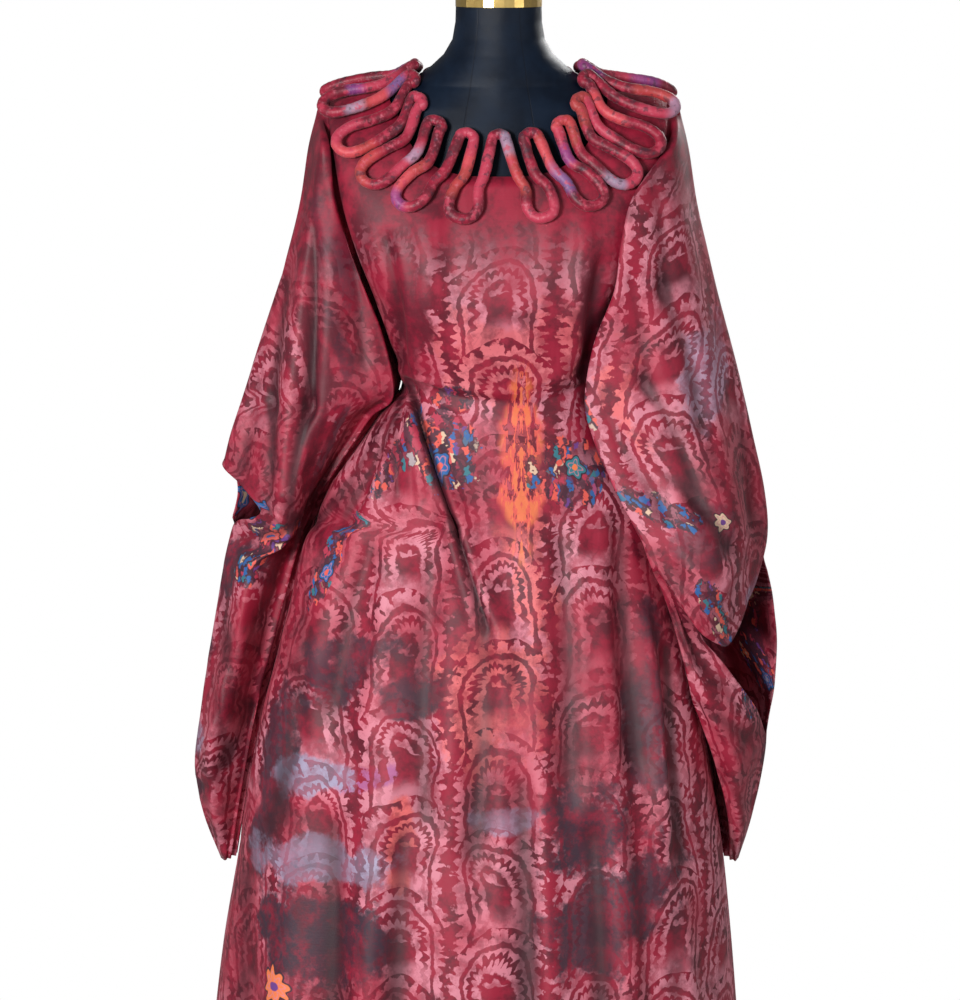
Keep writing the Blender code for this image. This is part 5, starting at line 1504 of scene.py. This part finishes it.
def studio():
    """White floor and surroundings, a large soft key from the front left, fill and rim lights."""
    scene = bpy.context.scene
    world = bpy.data.worlds.new("studio")
    scene.world = world
    world.use_nodes = True
    nodes, links = world.node_tree.nodes, world.node_tree.links
    background = nodes["Background"]
    background.inputs["Color"].default_value = (1.0, 1.0, 1.0, 1.0)
    ray, strength = nodes.new("ShaderNodeLightPath"), nodes.new("ShaderNodeMapRange")
    strength.inputs["To Min"].default_value = SKY_LIGHT
    strength.inputs["To Max"].default_value = SKY_SEEN
    links.new(ray.outputs["Is Camera Ray"], strength.inputs["Value"])
    links.new(strength.outputs["Result"], background.inputs["Strength"])
    scene.view_settings.view_transform = "Standard"
    rim = [2 * math.pi * k / FLOOR_SIDES for k in range(FLOOR_SIDES)]
    points = [(FLOOR_RADIUS * math.cos(turn), FLOOR_RADIUS * math.sin(turn), 0) for turn in rim]
    mesh = bpy.data.meshes.new("floor")
    mesh.from_pydata(points, [], [tuple(range(FLOOR_SIDES))])
    made, tree, shader = new_material("floor_paint")
    colour = mixed(noise(tree, 3.0, 3.0), (0.82, 0.82, 0.82, 1), (0.88, 0.88, 0.87, 1))
    tree.links.new(colour.socket, shader.inputs["Base Color"])
    shader.inputs["Roughness"].default_value = 0.6
    mesh.materials.append(made)
    floor = bpy.data.objects.new("floor", mesh)
    scene.collection.objects.link(floor)
    middle = (0.0, 0.0, 0.95)
    add_light("key", (-1.35, -3.1, 1.75), (0.0, 0.0, 0.8), 0.7, 110)
    add_light("side", (-3.0, -0.9, 1.9), middle, 0.8, 7)
    add_light("fill", (2.4, -2.2, 1.6), middle, 1.6, 18)
    add_light("rim", (1.4, 2.4, 2.2), middle, 1.2, 45)


def camera():
    data = bpy.data.cameras.new("camera")
    data.lens = CAMERA_LENS
    data.sensor_width = SENSOR
    data.sensor_fit = "AUTO"
    obj = bpy.data.objects.new("camera", data)
    obj.location = CAMERA_PLACE
    obj.rotation_euler = Euler((CAMERA_PITCH, 0.0, 0.0))
    bpy.context.scene.collection.objects.link(obj)
    bpy.context.scene.camera = obj


def garment():
    """Front, back, sleeves and collar. Returns the four sheets by node."""
    coarse = (body_grid(False, FRONT_COLUMNS), body_grid(True, BACK_COLUMNS))
    front = fine_body_grid(False, FINE_FRONT_COLUMNS)
    back = fine_body_grid(True, FINE_BACK_COLUMNS)
    coarse_points, coarse_faces, points, faces = [], [], [], []
    for (grid, _), fine, flip in zip(coarse, (front, back), (False, True)):
        coarse_faces += grid_faces(*grid.shape[:2], flip=flip, first=len(coarse_points))
        coarse_points += list(grid.reshape(-1, 3))
        faces += grid_faces(*fine.shape[:2], flip=flip, first=len(points))
        points += list(fine.reshape(-1, 3))
    coarse_body = tree_of(coarse_points, coarse_faces)
    body = tree_of(points, faces)
    front_cloth = cloth_material("cloth_front", FRONT_TINTS, FRONT_FLORALS, FRONT_FLOWERS,
                                 1.27, 1.13, spray=True)
    back_cloth = cloth_material("cloth_back", BACK_TINTS, BACK_FLORALS, BACK_FLOWERS, 1.30, 1.22)
    right_cloth = cloth_material("cloth_sleeve_right", SLEEVE_RIGHT_TINTS, SLEEVE_RIGHT_FLORALS,
                                 SLEEVE_RIGHT_FLOWERS, 1.30, 1.10, 0.75)
    left_cloth = cloth_material("cloth_sleeve_left", SLEEVE_LEFT_TINTS, SLEEVE_LEFT_FLORALS,
                                SLEEVE_LEFT_FLOWERS, 1.34, 1.24)
    sheets = {"front": body_piece("front", False, front, front_cloth),
              "back": body_piece("back", True, back, back_cloth)}
    for name, side, table, slit, folds, creases, start, material in (
            ("sleeve_right", -1, SLEEVE_RIGHT_ROWS, SLEEVE_RIGHT_SLIT, SLEEVE_RIGHT_FOLDS,
             SLEEVE_RIGHT_CREASES, 0.175, right_cloth),
            ("sleeve_left", 1, SLEEVE_LEFT_ROWS, SLEEVE_LEFT_SLIT, SLEEVE_LEFT_FOLDS,
             SLEEVE_LEFT_CREASES, 0.150, left_cloth)):
        piece, sleeve_points, sleeve_faces = sleeve_piece(
            name, side, table, slit, folds, creases, coarse, coarse_body, body, start, material)
        sheets[name] = piece
        faces += [tuple(len(points) + i for i in face) for face in sleeve_faces]
        points += list(sleeve_points)
    collar(coarse, tree_of(points, faces), rouleau_material())
    return sheets


def main():
    camera()
    studio()
    sheets = garment()
    dress_form(form_material())
    brass = metal_material("brass_cap", (0.83, 0.60, 0.22), (0.66, 0.45, 0.15), 0.22, 1.0)
    steel = metal_material("painted_steel", (0.030, 0.030, 0.034), (0.016, 0.016, 0.018), 0.38, 0.6)
    dress("neck_cap", brass)
    for node in ("stand_pole", "stand_base"):
        dress(node, steel)


main()
